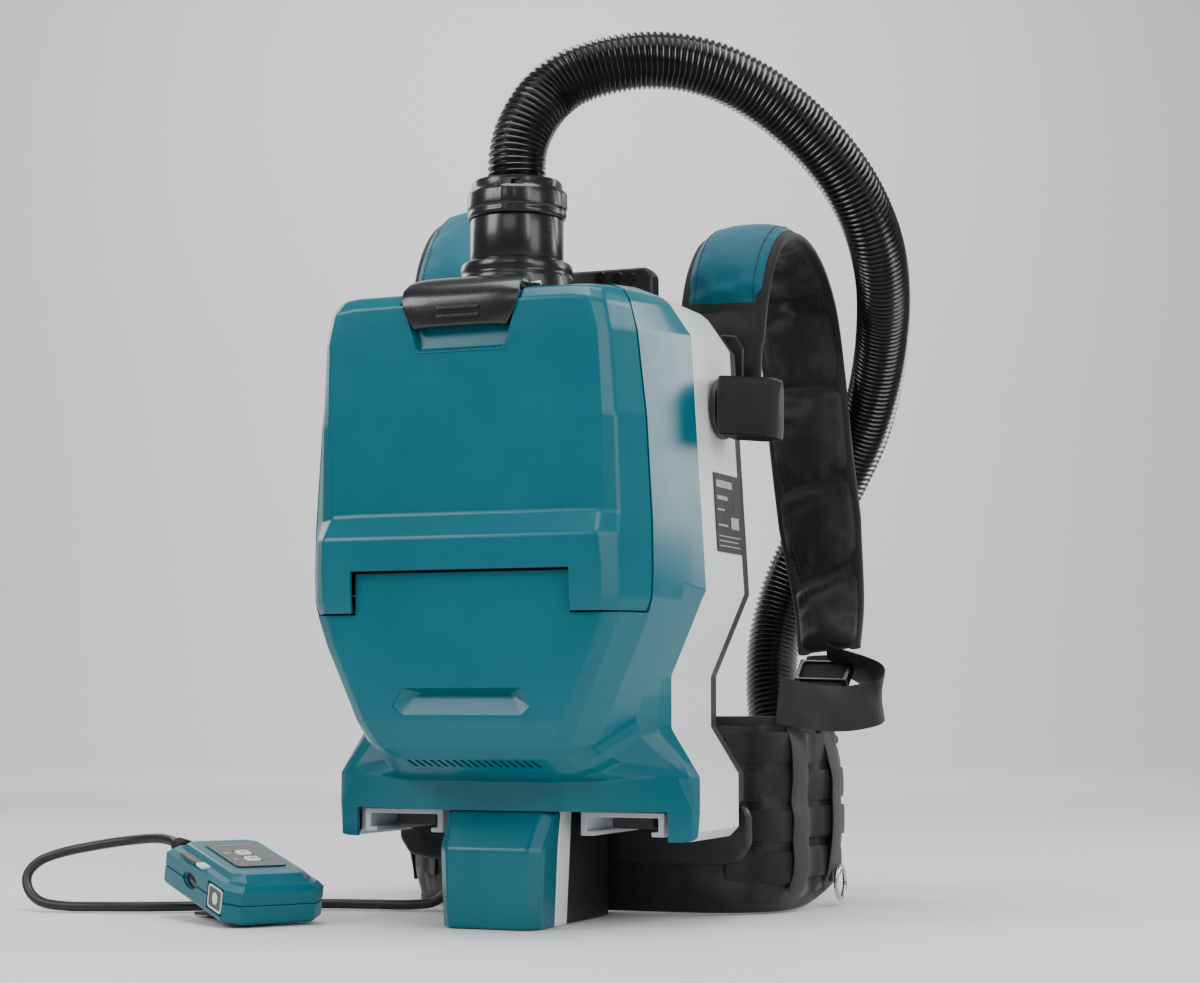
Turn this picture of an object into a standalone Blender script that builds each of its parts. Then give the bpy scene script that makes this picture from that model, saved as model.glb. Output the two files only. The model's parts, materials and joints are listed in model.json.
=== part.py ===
"""Backpack vacuum cleaner: shells, hinged lid with latch, hose port with lock
ring, ribbed hose, twin battery docks, padded harness and a wired remote.

Metres, +Z up, front of the machine towards -Y, origin on the floor under the
axis of the hose port.  Right-hand pieces are at +X.
"""
import math

import bmesh
import bpy
from mathutils import Vector

for _o in list(bpy.data.objects):
    bpy.data.objects.remove(_o, do_unlink=True)

# ------------------------------------------------------------ driving sizes
WALL = 0.003            # shell thickness
GAP = 0.0003            # clearance between pieces that touch
SEAM_Y = -0.067         # plane where the lid meets the housing
BAND_Y0, BAND_Y1 = 0.0, 0.090   # white frame band, front and back planes
BACK_Y = 0.1180         # rear face of the black shell
TOP_Z = 0.4845          # top of the band
SKIRT_Z0, SKIRT_Z1 = 0.0645, 0.0864  # battery posts, underside of the bays
BAY_X0, BAY_X1 = 0.053, 0.1295       # battery bay, inner and outer side
HINGE_Y, HINGE_Z = -0.0945, 0.2490   # lid hinge axis (along X)
LATCH_Y, LATCH_Z = -0.0750, 0.4795   # latch pivot axis (along X)
MOTOR_Y = 0.030                      # motor axis (along Z)
HOSE_D = 0.046
RING_Z0, RING_Z1 = 0.5440, 0.5738
CORD_D = 0.008

# outline of the band, right half, top centre to bottom (x, z)
BAND = [(0.100, 0.4845), (0.1206, 0.4760), (0.1270, 0.4705), (0.1447, 0.4447),
        (0.1480, 0.3840), (0.1560, 0.2525), (0.1280, 0.1880), (0.1280, 0.1490),
        (0.1505, 0.1130)]


# ------------------------------------------------------------------ helpers
def material(name, rgb, rough=0.5, metal=0.0):
    m = bpy.data.materials.new(name)
    m.use_nodes = True
    b = m.node_tree.nodes["Principled BSDF"]
    b.inputs["Base Color"].default_value = (*rgb, 1.0)
    b.inputs["Roughness"].default_value = rough
    b.inputs["Metallic"].default_value = metal
    m.diffuse_color = (*rgb, 1.0)
    return m


TEAL = (0.0, 0.20, 0.26)
WHITE = (0.80, 0.82, 0.83)
BLACK = (0.018, 0.018, 0.020)
DARK = (0.05, 0.05, 0.055)
STEEL = (0.62, 0.62, 0.63)


def put(name, verts, faces, rgb=BLACK, rough=0.5, metal=0.0, smooth=None):
    me = bpy.data.meshes.new(name)
    bm = bmesh.new()
    vs = [bm.verts.new(v) for v in verts]
    for f in faces:
        bm.faces.new([vs[i] for i in f])
    bmesh.ops.remove_doubles(bm, verts=bm.verts[:], dist=1e-6)
    bmesh.ops.recalc_face_normals(bm, faces=bm.faces[:])
    bm.to_mesh(me)
    bm.free()
    ob = bpy.data.objects.new(name, me)
    bpy.context.scene.collection.objects.link(ob)
    me.materials.append(material(name + "_finish", rgb, rough, metal))
    if smooth:
        me.shade_smooth()
        me.set_sharp_from_angle(angle=math.radians(smooth))
    return ob


def bevel(ob, width, segments=2, angle=30):
    m = ob.modifiers.new("edges", "BEVEL")
    m.width = width
    m.segments = segments
    m.limit_method = "ANGLE"
    m.angle_limit = math.radians(angle)
    return ob


def cut(ob, cutter, op="DIFFERENCE"):
    m = ob.modifiers.new("cut_" + cutter.name, "BOOLEAN")
    m.operation = op
    m.solver = "EXACT"
    m.object = cutter
    cutter.hide_render = True
    cutter.display_type = "WIRE"
    return ob


def box(name, lo, hi, rgb=BLACK, rough=0.5, metal=0.0, r=0.0, seg=2):
    (x0, y0, z0), (x1, y1, z1) = lo, hi
    v = [(x0, y0, z0), (x1, y0, z0), (x1, y1, z0), (x0, y1, z0),
         (x0, y0, z1), (x1, y0, z1), (x1, y1, z1), (x0, y1, z1)]
    f = [(0, 3, 2, 1), (4, 5, 6, 7), (0, 1, 5, 4), (1, 2, 6, 5), (2, 3, 7, 6), (3, 0, 4, 7)]
    ob = put(name, v, f, rgb, rough, metal)
    if r:
        bevel(ob, r, seg)
    return ob


def prism(name, outline, fn, t0, t1, rgb=BLACK, rough=0.5, metal=0.0, hole=None):
    """Extrude a closed 2-D outline from t0 to t1; fn(a, b, t) gives the point."""
    n = len(outline)
    v = [fn(a, b, t) for t in (t0, t1) for a, b in outline]
    f = [(i, (i + 1) % n, n + (i + 1) % n, n + i) for i in range(n)]
    if hole is None:
        f += [tuple(range(n - 1, -1, -1)), tuple(range(n, 2 * n))]
    else:
        k = 2 * n
        v += [fn(a, b, t) for t in (t0, t1) for a, b in hole]
        for i in range(n):
            j = (i + 1) % n
            f.append((k + i, k + n + i, k + n + j, k + j))
            f.append((i, k + i, k + j, j))
            f.append((n + i, n + j, k + n + j, k + n + i))
    return put(name, v, f, rgb, rough, metal)


def lathe(name, profile, centre, n=32, rgb=BLACK, rough=0.5, metal=0.0, axis="Z", rfun=None):
    """Turn a closed (r, t) profile about a line through centre along axis."""
    m = len(profile)
    v = []
    for i in range(n):
        a = 2 * math.pi * i / n
        for j, (r, t) in enumerate(profile):
            rr = rfun(i, j, r) if rfun else r
            p, q = rr * math.cos(a), rr * math.sin(a)
            if axis == "Z":
                v.append((centre[0] + p, centre[1] + q, centre[2] + t))
            elif axis == "X":
                v.append((centre[0] + t, centre[1] + p, centre[2] + q))
            else:
                v.append((centre[0] + p, centre[1] + t, centre[2] + q))
    f = []
    for i in range(n):
        k = (i + 1) % n
        for j in range(m):
            l = (j + 1) % m
            f.append((i * m + j, k * m + j, k * m + l, i * m + l))
    return put(name, v, f, rgb, rough, metal, smooth=35)


def rod(name, r, p0, p1, n=12, rgb=BLACK, rough=0.5, metal=0.0, r1=None):
    """Solid round rod between two points, tapering to r1 when it is given."""
    a, b = Vector(p0), Vector(p1)
    t = (b - a).normalized()
    u = t.orthogonal().normalized()
    w = t.cross(u)
    v = []
    for p, rr in ((a, r), (b, r if r1 is None else r1)):
        for i in range(n):
            c = 2 * math.pi * i / n
            v.append(tuple(p + rr * (math.cos(c) * u + math.sin(c) * w)))
    f = [(i, (i + 1) % n, n + (i + 1) % n, n + i) for i in range(n)]
    f += [tuple(range(n - 1, -1, -1)), tuple(range(n, 2 * n))]
    return put(name, v, f, rgb, rough, metal, smooth=35)


def loft(name, rings, rgb=BLACK, rough=0.5, metal=0.0, smooth=None):
    """Closed solid through rings of equal length, with flat end caps."""
    n = len(rings[0])
    v = [p for r in rings for p in r]
    f = []
    for k in range(len(rings) - 1):
        for i in range(n):
            j = (i + 1) % n
            f.append((k * n + i, k * n + j, (k + 1) * n + j, (k + 1) * n + i))
    f.append(tuple(range(n - 1, -1, -1)))
    last = (len(rings) - 1) * n
    f.append(tuple(range(last, last + n)))
    return put(name, v, f, rgb, rough, metal, smooth)


def catmull(pts, per=6):
    """Smooth curve through the points (centripetal Catmull-Rom)."""
    P = [Vector(p) for p in pts]
    P = [P[0] * 2 - P[1]] + P + [P[-1] * 2 - P[-2]]
    out = []
    for i in range(1, len(P) - 2):
        p0, p1, p2, p3 = P[i - 1], P[i], P[i + 1], P[i + 2]
        t0 = 0.0
        t1 = t0 + (p1 - p0).length ** 0.5
        t2 = t1 + (p2 - p1).length ** 0.5
        t3 = t2 + (p3 - p2).length ** 0.5
        for k in range(per):
            t = t1 + (t2 - t1) * k / per
            a1 = p0 * ((t1 - t) / (t1 - t0)) + p1 * ((t - t0) / (t1 - t0))
            a2 = p1 * ((t2 - t) / (t2 - t1)) + p2 * ((t - t1) / (t2 - t1))
            a3 = p2 * ((t3 - t) / (t3 - t2)) + p3 * ((t - t2) / (t3 - t2))
            b1 = a1 * ((t2 - t) / (t2 - t0)) + a2 * ((t - t0) / (t2 - t0))
            b2 = a2 * ((t3 - t) / (t3 - t1)) + a3 * ((t - t1) / (t3 - t1))
            out.append(b1 * ((t2 - t) / (t2 - t1)) + b2 * ((t - t1) / (t2 - t1)))
    out.append(P[-2])
    return out


def resample(pts, step):
    """Points at an even distance along a polyline."""
    acc = [0.0]
    for a, b in zip(pts, pts[1:]):
        acc.append(acc[-1] + (b - a).length)
    n = max(2, round(acc[-1] / step))
    out, k = [], 0
    for i in range(n + 1):
        s = acc[-1] * i / n
        while k < len(pts) - 2 and acc[k + 1] < s:
            k += 1
        t = (s - acc[k]) / max(1e-9, acc[k + 1] - acc[k])
        out.append(pts[k].lerp(pts[k + 1], min(1.0, t)))
    return out


def tube(name, pts, d, res=2, rgb=BLACK, rough=0.4):
    cu = bpy.data.curves.new(name, "CURVE")
    cu.dimensions = "3D"
    cu.bevel_depth = d / 2
    cu.bevel_resolution = res
    cu.use_fill_caps = True
    cu.render_resolution_u = 0
    sp = cu.splines.new("POLY")
    sp.points.add(len(pts) - 1)
    for p, q in zip(sp.points, pts):
        p.co = (q[0], q[1], q[2], 1.0)
    ob = bpy.data.objects.new(name, cu)
    bpy.context.scene.collection.objects.link(ob)
    cu.materials.append(material(name + "_finish", rgb, rough))
    return ob


def strap(name, path, width, thick, across=(1, 0, 0), rgb=BLACK, rough=0.8, soft=0.35, step=0.022):
    """Flat band swept along a path; width and thick are numbers or functions
    of the fraction travelled; across is the band's width direction."""
    pts = resample(catmull(path, 8), step)
    n = len(pts)
    rings = []
    for i, p in enumerate(pts):
        t = (pts[min(i + 1, n - 1)] - pts[max(i - 1, 0)]).normalized()
        u = i / (n - 1)
        ac = Vector(across(u)) if callable(across) else Vector(across)
        w = (ac - t * ac.dot(t)).normalized()
        m = t.cross(w)
        hw = (width(u) if callable(width) else width) / 2
        ht = (thick(u) if callable(thick) else thick) / 2
        c = soft * min(hw, ht) * 1.6
        ring = [(-hw, -ht + c), (-hw + c, -ht), (hw - c, -ht), (hw, -ht + c),
                (hw, ht - c), (hw - c, ht), (-hw + c, ht), (-hw, ht - c)]
        rings.append([tuple(p + w * a + m * b) for a, b in ring])
    return loft(name, rings, rgb, rough)


def offset(loop, d):
    """Closed 2-D loop moved inwards by d with mitred corners."""
    n = len(loop)
    area = sum(loop[i][0] * loop[(i + 1) % n][1] - loop[(i + 1) % n][0] * loop[i][1] for i in range(n))
    s = 1.0 if area > 0 else -1.0
    out = []
    for i in range(n):
        p, q, r = (Vector(loop[k % n]) for k in (i - 1, i, i + 1))
        a, b = (q - p).normalized(), (r - q).normalized()
        na, nb = Vector((-a.y, a.x)) * s, Vector((-b.y, b.x)) * s
        m = (na + nb).normalized()
        out.append(tuple(q + m * d / max(0.35, m.dot(na))))
    return out


def mirror_loop(half):
    """Full outline from its right half, which runs from top to bottom."""
    return half + [(-x, z) for x, z in reversed(half)]


def sheet(name, rows, cells, thick, rgb, rough=0.4, plane=None):
    """Half surface given by rows of points, mirrored about X=0 and thickened
    inwards; cells(i, j) says whether the patch between rows i, i+1 and
    columns j, j+1 exists; a rim in the given Y plane stays in it."""
    verts, idx = [], {}

    def vid(p):
        k = tuple(round(c, 6) for c in p)
        if k not in idx:
            idx[k] = len(verts)
            verts.append(k)
        return idx[k]

    faces = []
    for i in range(len(rows) - 1):
        for j in range(len(rows[i]) - 1):
            if not cells(i, j):
                continue
            q = [rows[i][j], rows[i][j + 1], rows[i + 1][j + 1], rows[i + 1][j]]
            for s in (1, -1):
                ids = []
                for x, y, z in q:
                    k = vid((s * x, y, z))
                    if k not in ids:
                        ids.append(k)
                if len(ids) > 2:
                    faces.append(ids if s == 1 else ids[::-1])
    me = bpy.data.meshes.new(name)
    bm = bmesh.new()
    vs = [bm.verts.new(v) for v in verts]
    for f in faces:
        bm.faces.new([vs[i] for i in f])
    bmesh.ops.recalc_face_normals(bm, faces=bm.faces[:])
    bm.faces.ensure_lookup_table()
    front = min(bm.faces, key=lambda g: g.calc_center_median().y)
    if front.normal.y > 0:
        bmesh.ops.reverse_faces(bm, faces=bm.faces[:])
    bmesh.ops.triangulate(bm, faces=bm.faces[:])
    bm.normal_update()
    outer = list(bm.verts)
    twin = {}
    for a in outer:
        nrm = a.normal.copy()
        if plane is not None and abs(a.co.y - plane) < 1e-6:
            nrm.y = 0.0
            nrm.normalize()
        twin[a] = bm.verts.new(a.co - nrm * thick * min(1.25, a.calc_shell_factor()))
    rim = [e for e in bm.edges if e.is_boundary]
    for g in list(bm.faces):
        bm.faces.new([twin[a] for a in reversed(list(g.verts))])
    for e in rim:
        a, b = e.verts
        bm.faces.new([a, b, twin[b], twin[a]])
    bmesh.ops.recalc_face_normals(bm, faces=bm.faces[:])
    bm.to_mesh(me)
    bm.free()
    ob = bpy.data.objects.new(name, me)
    bpy.context.scene.collection.objects.link(ob)
    me.materials.append(material(name + "_finish", rgb, rough))
    return ob


def cylinder_cutter(name, r, p0, p1, n=32):
    ob = rod(name, r, p0, p1, n)
    return ob


# ---------------------------------------------------------- front housing
Y0 = BAND_Y0 - GAP / 2
SK = [(0.0, -0.0340), (0.053, -0.0315), (0.0913, -0.0225), (0.1295, -0.0105),
      (0.1450, -0.0045), (0.1505, Y0)]
rows = []
for z in (SKIRT_Z0, SKIRT_Z1 + 0.0004, 0.1130):
    rows.append([(x, y, z) for x, y in SK])
rows += [
    [(0, -0.068, 0.1172), (0.053, -0.066, 0.1172), (0.061, -0.063, 0.1178), (0.071, -0.056, 0.1190), (0.084, -0.046, 0.1205), (0.1450, Y0, 0.1215)],
    [(0, -0.083, 0.1260), (0.053, -0.083, 0.1260), (0.062, -0.081, 0.1262), (0.071, -0.075, 0.1266), (0.0850, -0.061, 0.1275), (0.1380, Y0, 0.1328)],
    [(0, -0.091, 0.1340), (0.055, -0.091, 0.1340), (0.070, -0.089, 0.1340), (0.080, -0.081, 0.1340), (0.0935, -0.064, 0.1345), (0.1300, Y0, 0.1458)],
    [(0, -0.0985, 0.1580), (0.058, -0.0985, 0.1580), (0.083, -0.098, 0.1580), (0.093, -0.091, 0.1580), (0.1036, -0.066, 0.1580), (0.1280, Y0, 0.1620)],
    [(0, -0.1000, 0.1880), (0.065, -0.1000, 0.1880), (0.098, -0.100, 0.1880), (0.107, -0.093, 0.1880), (0.1170, SEAM_Y, 0.1880), (0.1280, Y0, 0.1880)],
    [(0, -0.1000, 0.2100), (0.075, -0.1000, 0.2100), (0.107, -0.100, 0.2100), (0.117, -0.093, 0.2100), (0.1270, SEAM_Y, 0.2100), (0.1375, Y0, 0.2099)],
    [(0, -0.1000, 0.2318), (0.0865, -0.1000, 0.2318), (0.1118, -0.100, 0.2318), (0.123, -0.093, 0.2318), (0.1345, SEAM_Y, 0.2318), (0.1470, Y0, 0.2318)],
]
ring = [((0.1370, 0.2430), (0.1510, 0.2410)), ((0.1380, 0.2640), (0.1560, 0.2525)),
        ((0.1377, 0.3000), (0.1531, 0.3000)), ((0.1334, 0.3770), (0.1480, 0.3840)),
        ((0.1262, 0.4408), (0.1447, 0.4447)), ((0.1190, 0.4622), (0.1270, 0.4705)),
        ((0.1128, 0.4735), (0.1206, 0.4760)), ((0.1000, 0.4762), (0.1000, 0.4845)),
        ((0.0000, 0.4762), (0.0000, 0.4845))]
n_low = len(rows)
# the tab that rises into the lid's notch replaces columns 0-1 of the next row
up = []
for k, (s, e) in enumerate(ring):
    base = [(0, -0.1000, 0.2640), (0.0865, -0.1000, 0.2640)] if k == 0 else [(0, -0.1, 0.264)] * 2
    up.append(base + [(0.11, -0.1, 0.24)] * 2 + [(s[0], SEAM_Y, s[1]), (e[0], Y0, e[1])])
rows += up


def housing_cells(i, j):
    if i == 0:
        return j >= 3
    if i < n_low - 1:
        return True
    if i == n_low - 1:
        return j in (0, 4)
    return j == 4


front_housing = sheet("front_housing", rows, housing_cells, WALL, TEAL, 0.35, plane=Y0)
port_hole_a = cylinder_cutter("cut_port_front", 0.0262, (0, 0, 0.455), (0, 0, 0.50))
cut(front_housing, port_hole_a)

# -------------------------------------------------------------------- lid
L = 0.049
lid_rows = [
    [(0, -0.069, 0.4748), (L, -0.069, 0.4748), (0.088, -0.069, 0.4748), (0.099, -0.069, 0.4748), (0.106, -0.069, 0.4738), (0.1112, -0.0685, 0.4715)],
    [(0, -0.094, 0.4735), (L, -0.094, 0.4735), (0.088, -0.094, 0.4733), (0.100, -0.094, 0.4722), (0.1075, -0.090, 0.4700), (0.1128, -0.0685, 0.4690)],
    [(0, -0.1040, 0.4640), (L, -0.1040, 0.4640), (0.088, -0.1040, 0.4638), (0.107, -0.104, 0.4625), (0.1130, -0.096, 0.4600), (0.1172, -0.0685, 0.4612)],
    [(0, -0.1034, 0.4400), (0.036, -0.1034, 0.4400), (0.088, -0.1034, 0.4400), (0.110, -0.1034, 0.4400), (0.1165, -0.095, 0.4400), (0.1245, -0.0685, 0.4400)],
    [(0, -0.1000, 0.3770), (0.040, -0.1000, 0.3770), (0.088, -0.1000, 0.3770), (0.1105, -0.100, 0.3770), (0.1195, -0.092, 0.3770), (0.1318, -0.0685, 0.3770)],
    [(0, -0.0960, 0.3070), (0.040, -0.0960, 0.3070), (0.088, -0.0960, 0.3070), (0.1105, -0.096, 0.3070), (0.1215, -0.089, 0.3060), (0.1360, -0.0685, 0.3000)],
    [(0, -0.1080, 0.2890), (0.040, -0.1080, 0.2890), (0.088, -0.1080, 0.2890), (0.113, -0.108, 0.2890), (0.1235, -0.094, 0.2880), (0.1365, -0.0685, 0.2840)],
    [(0, -0.1060, 0.2655), (0.040, -0.1060, 0.2655), (0.0885, -0.1060, 0.2655), (0.113, -0.106, 0.2650), (0.1230, -0.093, 0.2650), (0.1365, -0.0685, 0.2640)],
    [(0, -0.1030, 0.2350), (0.040, -0.1030, 0.2350), (0.0885, -0.1030, 0.2350), (0.112, -0.103, 0.2350), (0.1210, -0.092, 0.2350), (0.1285, -0.0685, 0.2390)],
]
lid = sheet("lid", lid_rows, lambda i, j: not (i == 7 and j < 2), WALL, TEAL, 0.35)
latch_pocket = box("cut_latch_pocket", (-0.0497, -0.12, 0.4450), (0.0497, -0.0690, 0.4900))
cut(lid, latch_pocket)

# latch: hooked cap over the top edge of the lid
latch_side = [(-0.0700, 0.4765), (-0.0715, 0.4868), (-0.0800, 0.4868), (-0.0950, 0.4830),
              (-0.1065, 0.4740), (-0.1085, 0.4690), (-0.1070, 0.4462), (-0.0970, 0.4462),
              (-0.0950, 0.4700), (-0.0800, 0.4755)]
lid_latch = loft("lid_latch", [[(x * (1.0 if z > 0.46 else 0.75), y, z) for y, z in latch_side]
                               for x in (-0.0490, 0.0490)], BLACK, 0.35)
latch_bore = rod("cut_latch_bore", 0.0021, (-0.0600, LATCH_Y, LATCH_Z), (0.0600, LATCH_Y, LATCH_Z), 12)
cut(lid_latch, latch_bore)
latch_pin = rod("latch_pin", 0.0018, (-0.0530, LATCH_Y, LATCH_Z), (0.0530, LATCH_Y, LATCH_Z), 10, STEEL, 0.3, 1.0)
for side, s in (("left", -1), ("right", 1)):
    rod("lid_hinge_pin_" + side, 0.0020, (s * 0.062, HINGE_Y, HINGE_Z), (s * 0.108, HINGE_Y, HINGE_Z), 12, STEEL, 0.3, 1.0)

seal_o = [(-0.100, 0.276), (0.100, 0.276), (0.100, 0.440), (-0.100, 0.440)]
seal_i = [(-0.095, 0.281), (0.095, 0.281), (0.095, 0.435), (-0.095, 0.435)]
prism("lid_seal", seal_o, lambda a, b, t: (a, t, b), -0.0915, -0.0875, DARK, 0.9, hole=seal_i)

# ----------------------------------------------------- white middle frame
band_low = [(0.1505, 0.0720), (0.1430, SKIRT_Z0), (0.1325, SKIRT_Z0), (BAY_X1, 0.0690), (BAY_X1, SKIRT_Z1)]
mid_half = BAND + band_low
mid_loop = mirror_loop(mid_half)
mid_frame = prism("mid_frame", mid_loop, lambda a, b, t: (a, t, b), BAND_Y0 + GAP / 2, BAND_Y1 - GAP / 2,
                  WHITE, 0.35, hole=offset(mid_loop, WALL))
port_hole_b = cylinder_cutter("cut_port_band", 0.0262, (0, 0, 0.455), (0, 0, 0.50))
cut(mid_frame, port_hole_b)

# ------------------------------------------------------- black rear shell
rear_half = BAND + [(0.1505, 0.0905)]
rear_loop = mirror_loop(rear_half)
YB = BAND_Y1 + GAP / 2


def rear_ring(d, y):
    return [(x, y, z) for x, z in offset(rear_loop, d)]


rings = [rear_ring(0.0, YB), rear_ring(0.0015, 0.1060), rear_ring(0.0065, 0.1145), rear_ring(0.0140, BACK_Y)]
inner = [rear_ring(WALL, YB), rear_ring(WALL + 0.0015, 0.1040), rear_ring(WALL + 0.0065, 0.1115), rear_ring(WALL + 0.0130, BACK_Y - WALL)]
n = len(rear_loop)
v = [p for r in rings for p in r] + [p for r in inner for p in r]
f = []
for k in range(3):
    for i in range(n):
        j = (i + 1) % n
        f.append((k * n + i, k * n + j, (k + 1) * n + j, (k + 1) * n + i))
        f.append(((k + 4) * n + i, (k + 5) * n + i, (k + 5) * n + j, (k + 4) * n + j))
for i in range(n):
    j = (i + 1) % n
    f.append((i, 4 * n + i, 4 * n + j, j))
f.append(tuple(3 * n + i for i in range(n)))
f.append(tuple(7 * n + i for i in reversed(range(n))))
put("rear_housing", v, f, BLACK, 0.5)

# lower cover that closes the back of the battery bays
cover_half = [(0.1400, 0.0898), (0.1500, 0.0860), (0.1530, 0.0780), (0.1530, 0.0560), (0.1440, 0.0430), (0.1250, 0.0395)]
prism("lower_back_cover", mirror_loop(cover_half), lambda a, b, t: (a, t, b), 0.1065, 0.1178, BLACK, 0.5)

# ------------------------------------------------------------- centre foot


def foot(name, y0, y1, w0, w1, rgb, front=False):
    def plan(w, ya, cx=0.0, cy=0.0):
        return [(-w, y1), (-w, ya + cy), (-w + cx, ya), (w - cx, ya), (w, ya + cy), (w, y1)]
    if front:
        r = [[(x, y, z) for x, y in plan(w, ya, 0.009, 0.010)]
             for z, w, ya in ((0.0, 0.0400, -0.0530), (0.0585, 0.0425, -0.0530), (0.0861, 0.0450, -0.0345))]
    else:
        r = [[(x, y, z) for x, y in plan(w, y0, 0.001, 0.001)] for z, w in ((0.0, w0), (0.0861, w1))]
    return loft(name, r, rgb, 0.4)


foot("foot_front", -0.0530, -0.0153, 0, 0, TEAL, True)
foot("foot_middle", -0.0150, 0.0070, 0.0400, 0.0440, WHITE)
foot("foot_rear", 0.0073, 0.0960, 0.0385, 0.0385, BLACK)

# ----------------------------------------------------------------- hose port
PORT = [(0.0205, 0.4340), (0.0250, 0.4340), (0.0250, 0.4860), (0.0440, 0.4860), (0.0448, 0.4960),
        (0.0425, 0.5085), (0.0395, 0.5100), (0.0205, 0.5100)]
lathe("inlet_port", PORT, (0, 0, 0), 32, BLACK, 0.4)
lathe("inlet_seal", [(0.0200, 0.4312), (0.0265, 0.4312), (0.0265, 0.4335), (0.0200, 0.4335)], (0, 0, 0), 24, DARK, 0.9)
lathe("hose_sleeve", [(0.0205, 0.5103), (0.0365, 0.5103), (0.0365, 0.5436), (0.0300, 0.5436), (0.0300, 0.5725), (0.0205, 0.5725)],
      (0, 0, 0), 32, BLACK, 0.35)


def ring_lobes(i, j, r):
    return r + (0.0016 if (r > 0.038 and i % 9 in (0, 1)) else 0.0)


lathe("hose_lock_ring", [(0.0303, RING_Z0), (0.0375, RING_Z0), (0.0385, 0.5480), (0.0385, 0.5660), (0.0345, RING_Z1), (0.0303, RING_Z1)],
      (0, 0, 0), 36, BLACK, 0.35, rfun=ring_lobes)

# ---------------------------------------------------------------------- hose
HOSE = [(0, 0, 0.5742), (0, 0, 0.5940), (0.0030, 0.0030, 0.6130), (0.0105, 0.0100, 0.6330), (0.0205, 0.0200, 0.6500), (0.0380, 0.0300, 0.6635),
        (0.0690, 0.0450, 0.6740), (0.0986, 0.0600, 0.6770), (0.1294, 0.0780, 0.6725), (0.1590, 0.1000, 0.6590), (0.1860, 0.1250, 0.6375),
        (0.2080, 0.1500, 0.6120), (0.2230, 0.1760, 0.5840), (0.2300, 0.2050, 0.5550), (0.2280, 0.2420, 0.5240), (0.2165, 0.2850, 0.4900),
        (0.1990, 0.3250, 0.4480), (0.1790, 0.3520, 0.4060), (0.1540, 0.3670, 0.3640), (0.1260, 0.3760, 0.3220), (0.1030, 0.3780, 0.2800),
        (0.0905, 0.3740, 0.2370), (0.0890, 0.3640, 0.1960), (0.0940, 0.3530, 0.1560), (0.1006, 0.3448, 0.1150), (0.1006, 0.3448, 0.0692)]
hose_pts = resample(catmull(HOSE, 8), 0.040)
hose_pts[1:1] = [Vector((0, 0, 0.5850))]
tube("hose", hose_pts, HOSE_D, 4, BLACK, 0.3)
lathe("hose_end_cuff", [(0.0170, 0.0), (0.0215, 0.0), (0.0235, 0.004), (0.0235, 0.030), (0.0262, 0.034), (0.0262, 0.0655), (0.0170, 0.0655)],
      (0.1006, 0.3448, 0.0030), 24, BLACK, 0.45)

# -------------------------------------------------------------- carry handle
H = [(-0.0800, 0.4850), (-0.0800, 0.5110), (-0.0740, 0.5175), (0.0740, 0.5175), (0.0800, 0.5110), (0.0800, 0.4850),
     (0.0690, 0.4850), (0.0690, 0.4970), (0.0650, 0.5015), (-0.0650, 0.5015), (-0.0690, 0.4970), (-0.0690, 0.4850)]
prism("carry_handle", H, lambda a, b, t: (a, t, b), 0.0880, 0.1050, BLACK, 0.45)

# --------------------------------------------------- hose holder on the side
HZ0, HZ1 = 0.3715, 0.4175
rod("hose_holder_plate", 0.0240, (0.1497, 0.0500, 0.3945), (0.1545, 0.0500, 0.3945), 24, BLACK, 0.5)
ho = [(0.1549, 0.030), (0.1549, 0.070), (0.1640, 0.0755), (0.1900, 0.0755), (0.2000, 0.0660), (0.2000, 0.0340), (0.1900, 0.0245), (0.1640, 0.0245)]
prism("hose_holder_band", ho, lambda a, b, t: (a, b, t), HZ0, HZ1, BLACK, 0.7, hole=offset(ho, 0.0030))


def side_x(z):
    return 0.148 + (0.384 - z) * (0.156 - 0.148) / (0.384 - 0.2525)


lab = [(0.0300, 0.2830), (0.0880, 0.2830), (0.0880, 0.3440), (0.0300, 0.3440)]
put("rating_label", [(side_x(z) + d, y, z) for d in (0.0004, 0.0011) for y, z in lab],
    [(0, 1, 2, 3), (7, 6, 5, 4), (0, 4, 5, 1), (1, 5, 6, 2), (2, 6, 7, 3), (3, 7, 4, 0)], DARK, 0.4)

# ------------------------------------------------------------ inside pieces
box("partition", (-0.118, -0.055, 0.2460), (0.118, 0.0865, 0.2490), DARK, 0.5)
box("hepa_filter", (-0.060, -0.020, 0.2494), (0.060, 0.080, 0.2590), (0.85, 0.85, 0.82), 0.9, r=0.003)
box("dust_bag", (-0.094, -0.080, 0.2650), (0.094, 0.040, 0.4240), (0.72, 0.66, 0.52), 0.9, r=0.028, seg=3)
fl = [(0.045 * math.copysign(abs(math.cos(a)) ** 0.5, math.cos(a)), 0.045 * math.copysign(abs(math.sin(a)) ** 0.5, math.sin(a)))
      for a in (2 * math.pi * (i + 0.5) / 24 for i in range(24))]
flh = [(0.0200 * math.cos(2 * math.pi * (i + 0.5) / 24), 0.0200 * math.sin(2 * math.pi * (i + 0.5) / 24)) for i in range(24)]
prism("dust_bag_flange", fl, lambda a, b, t: (a, b, t), 0.4270, 0.4308, (0.55, 0.42, 0.28), 0.9, hole=flh)
lathe("motor_housing", [(0.0060, 0.1220), (0.0530, 0.1220), (0.0530, 0.2385), (0.0500, 0.2385), (0.0500, 0.1250), (0.0060, 0.1250)],
      (0, MOTOR_Y, 0), 28, DARK, 0.5)
lathe("motor", [(0.0060, 0.1350), (0.0300, 0.1350), (0.0320, 0.1380), (0.0320, 0.1820), (0.0300, 0.1850), (0.0060, 0.1850)],
      (0, MOTOR_Y, 0), 24, STEEL, 0.4, 1.0)
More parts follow.
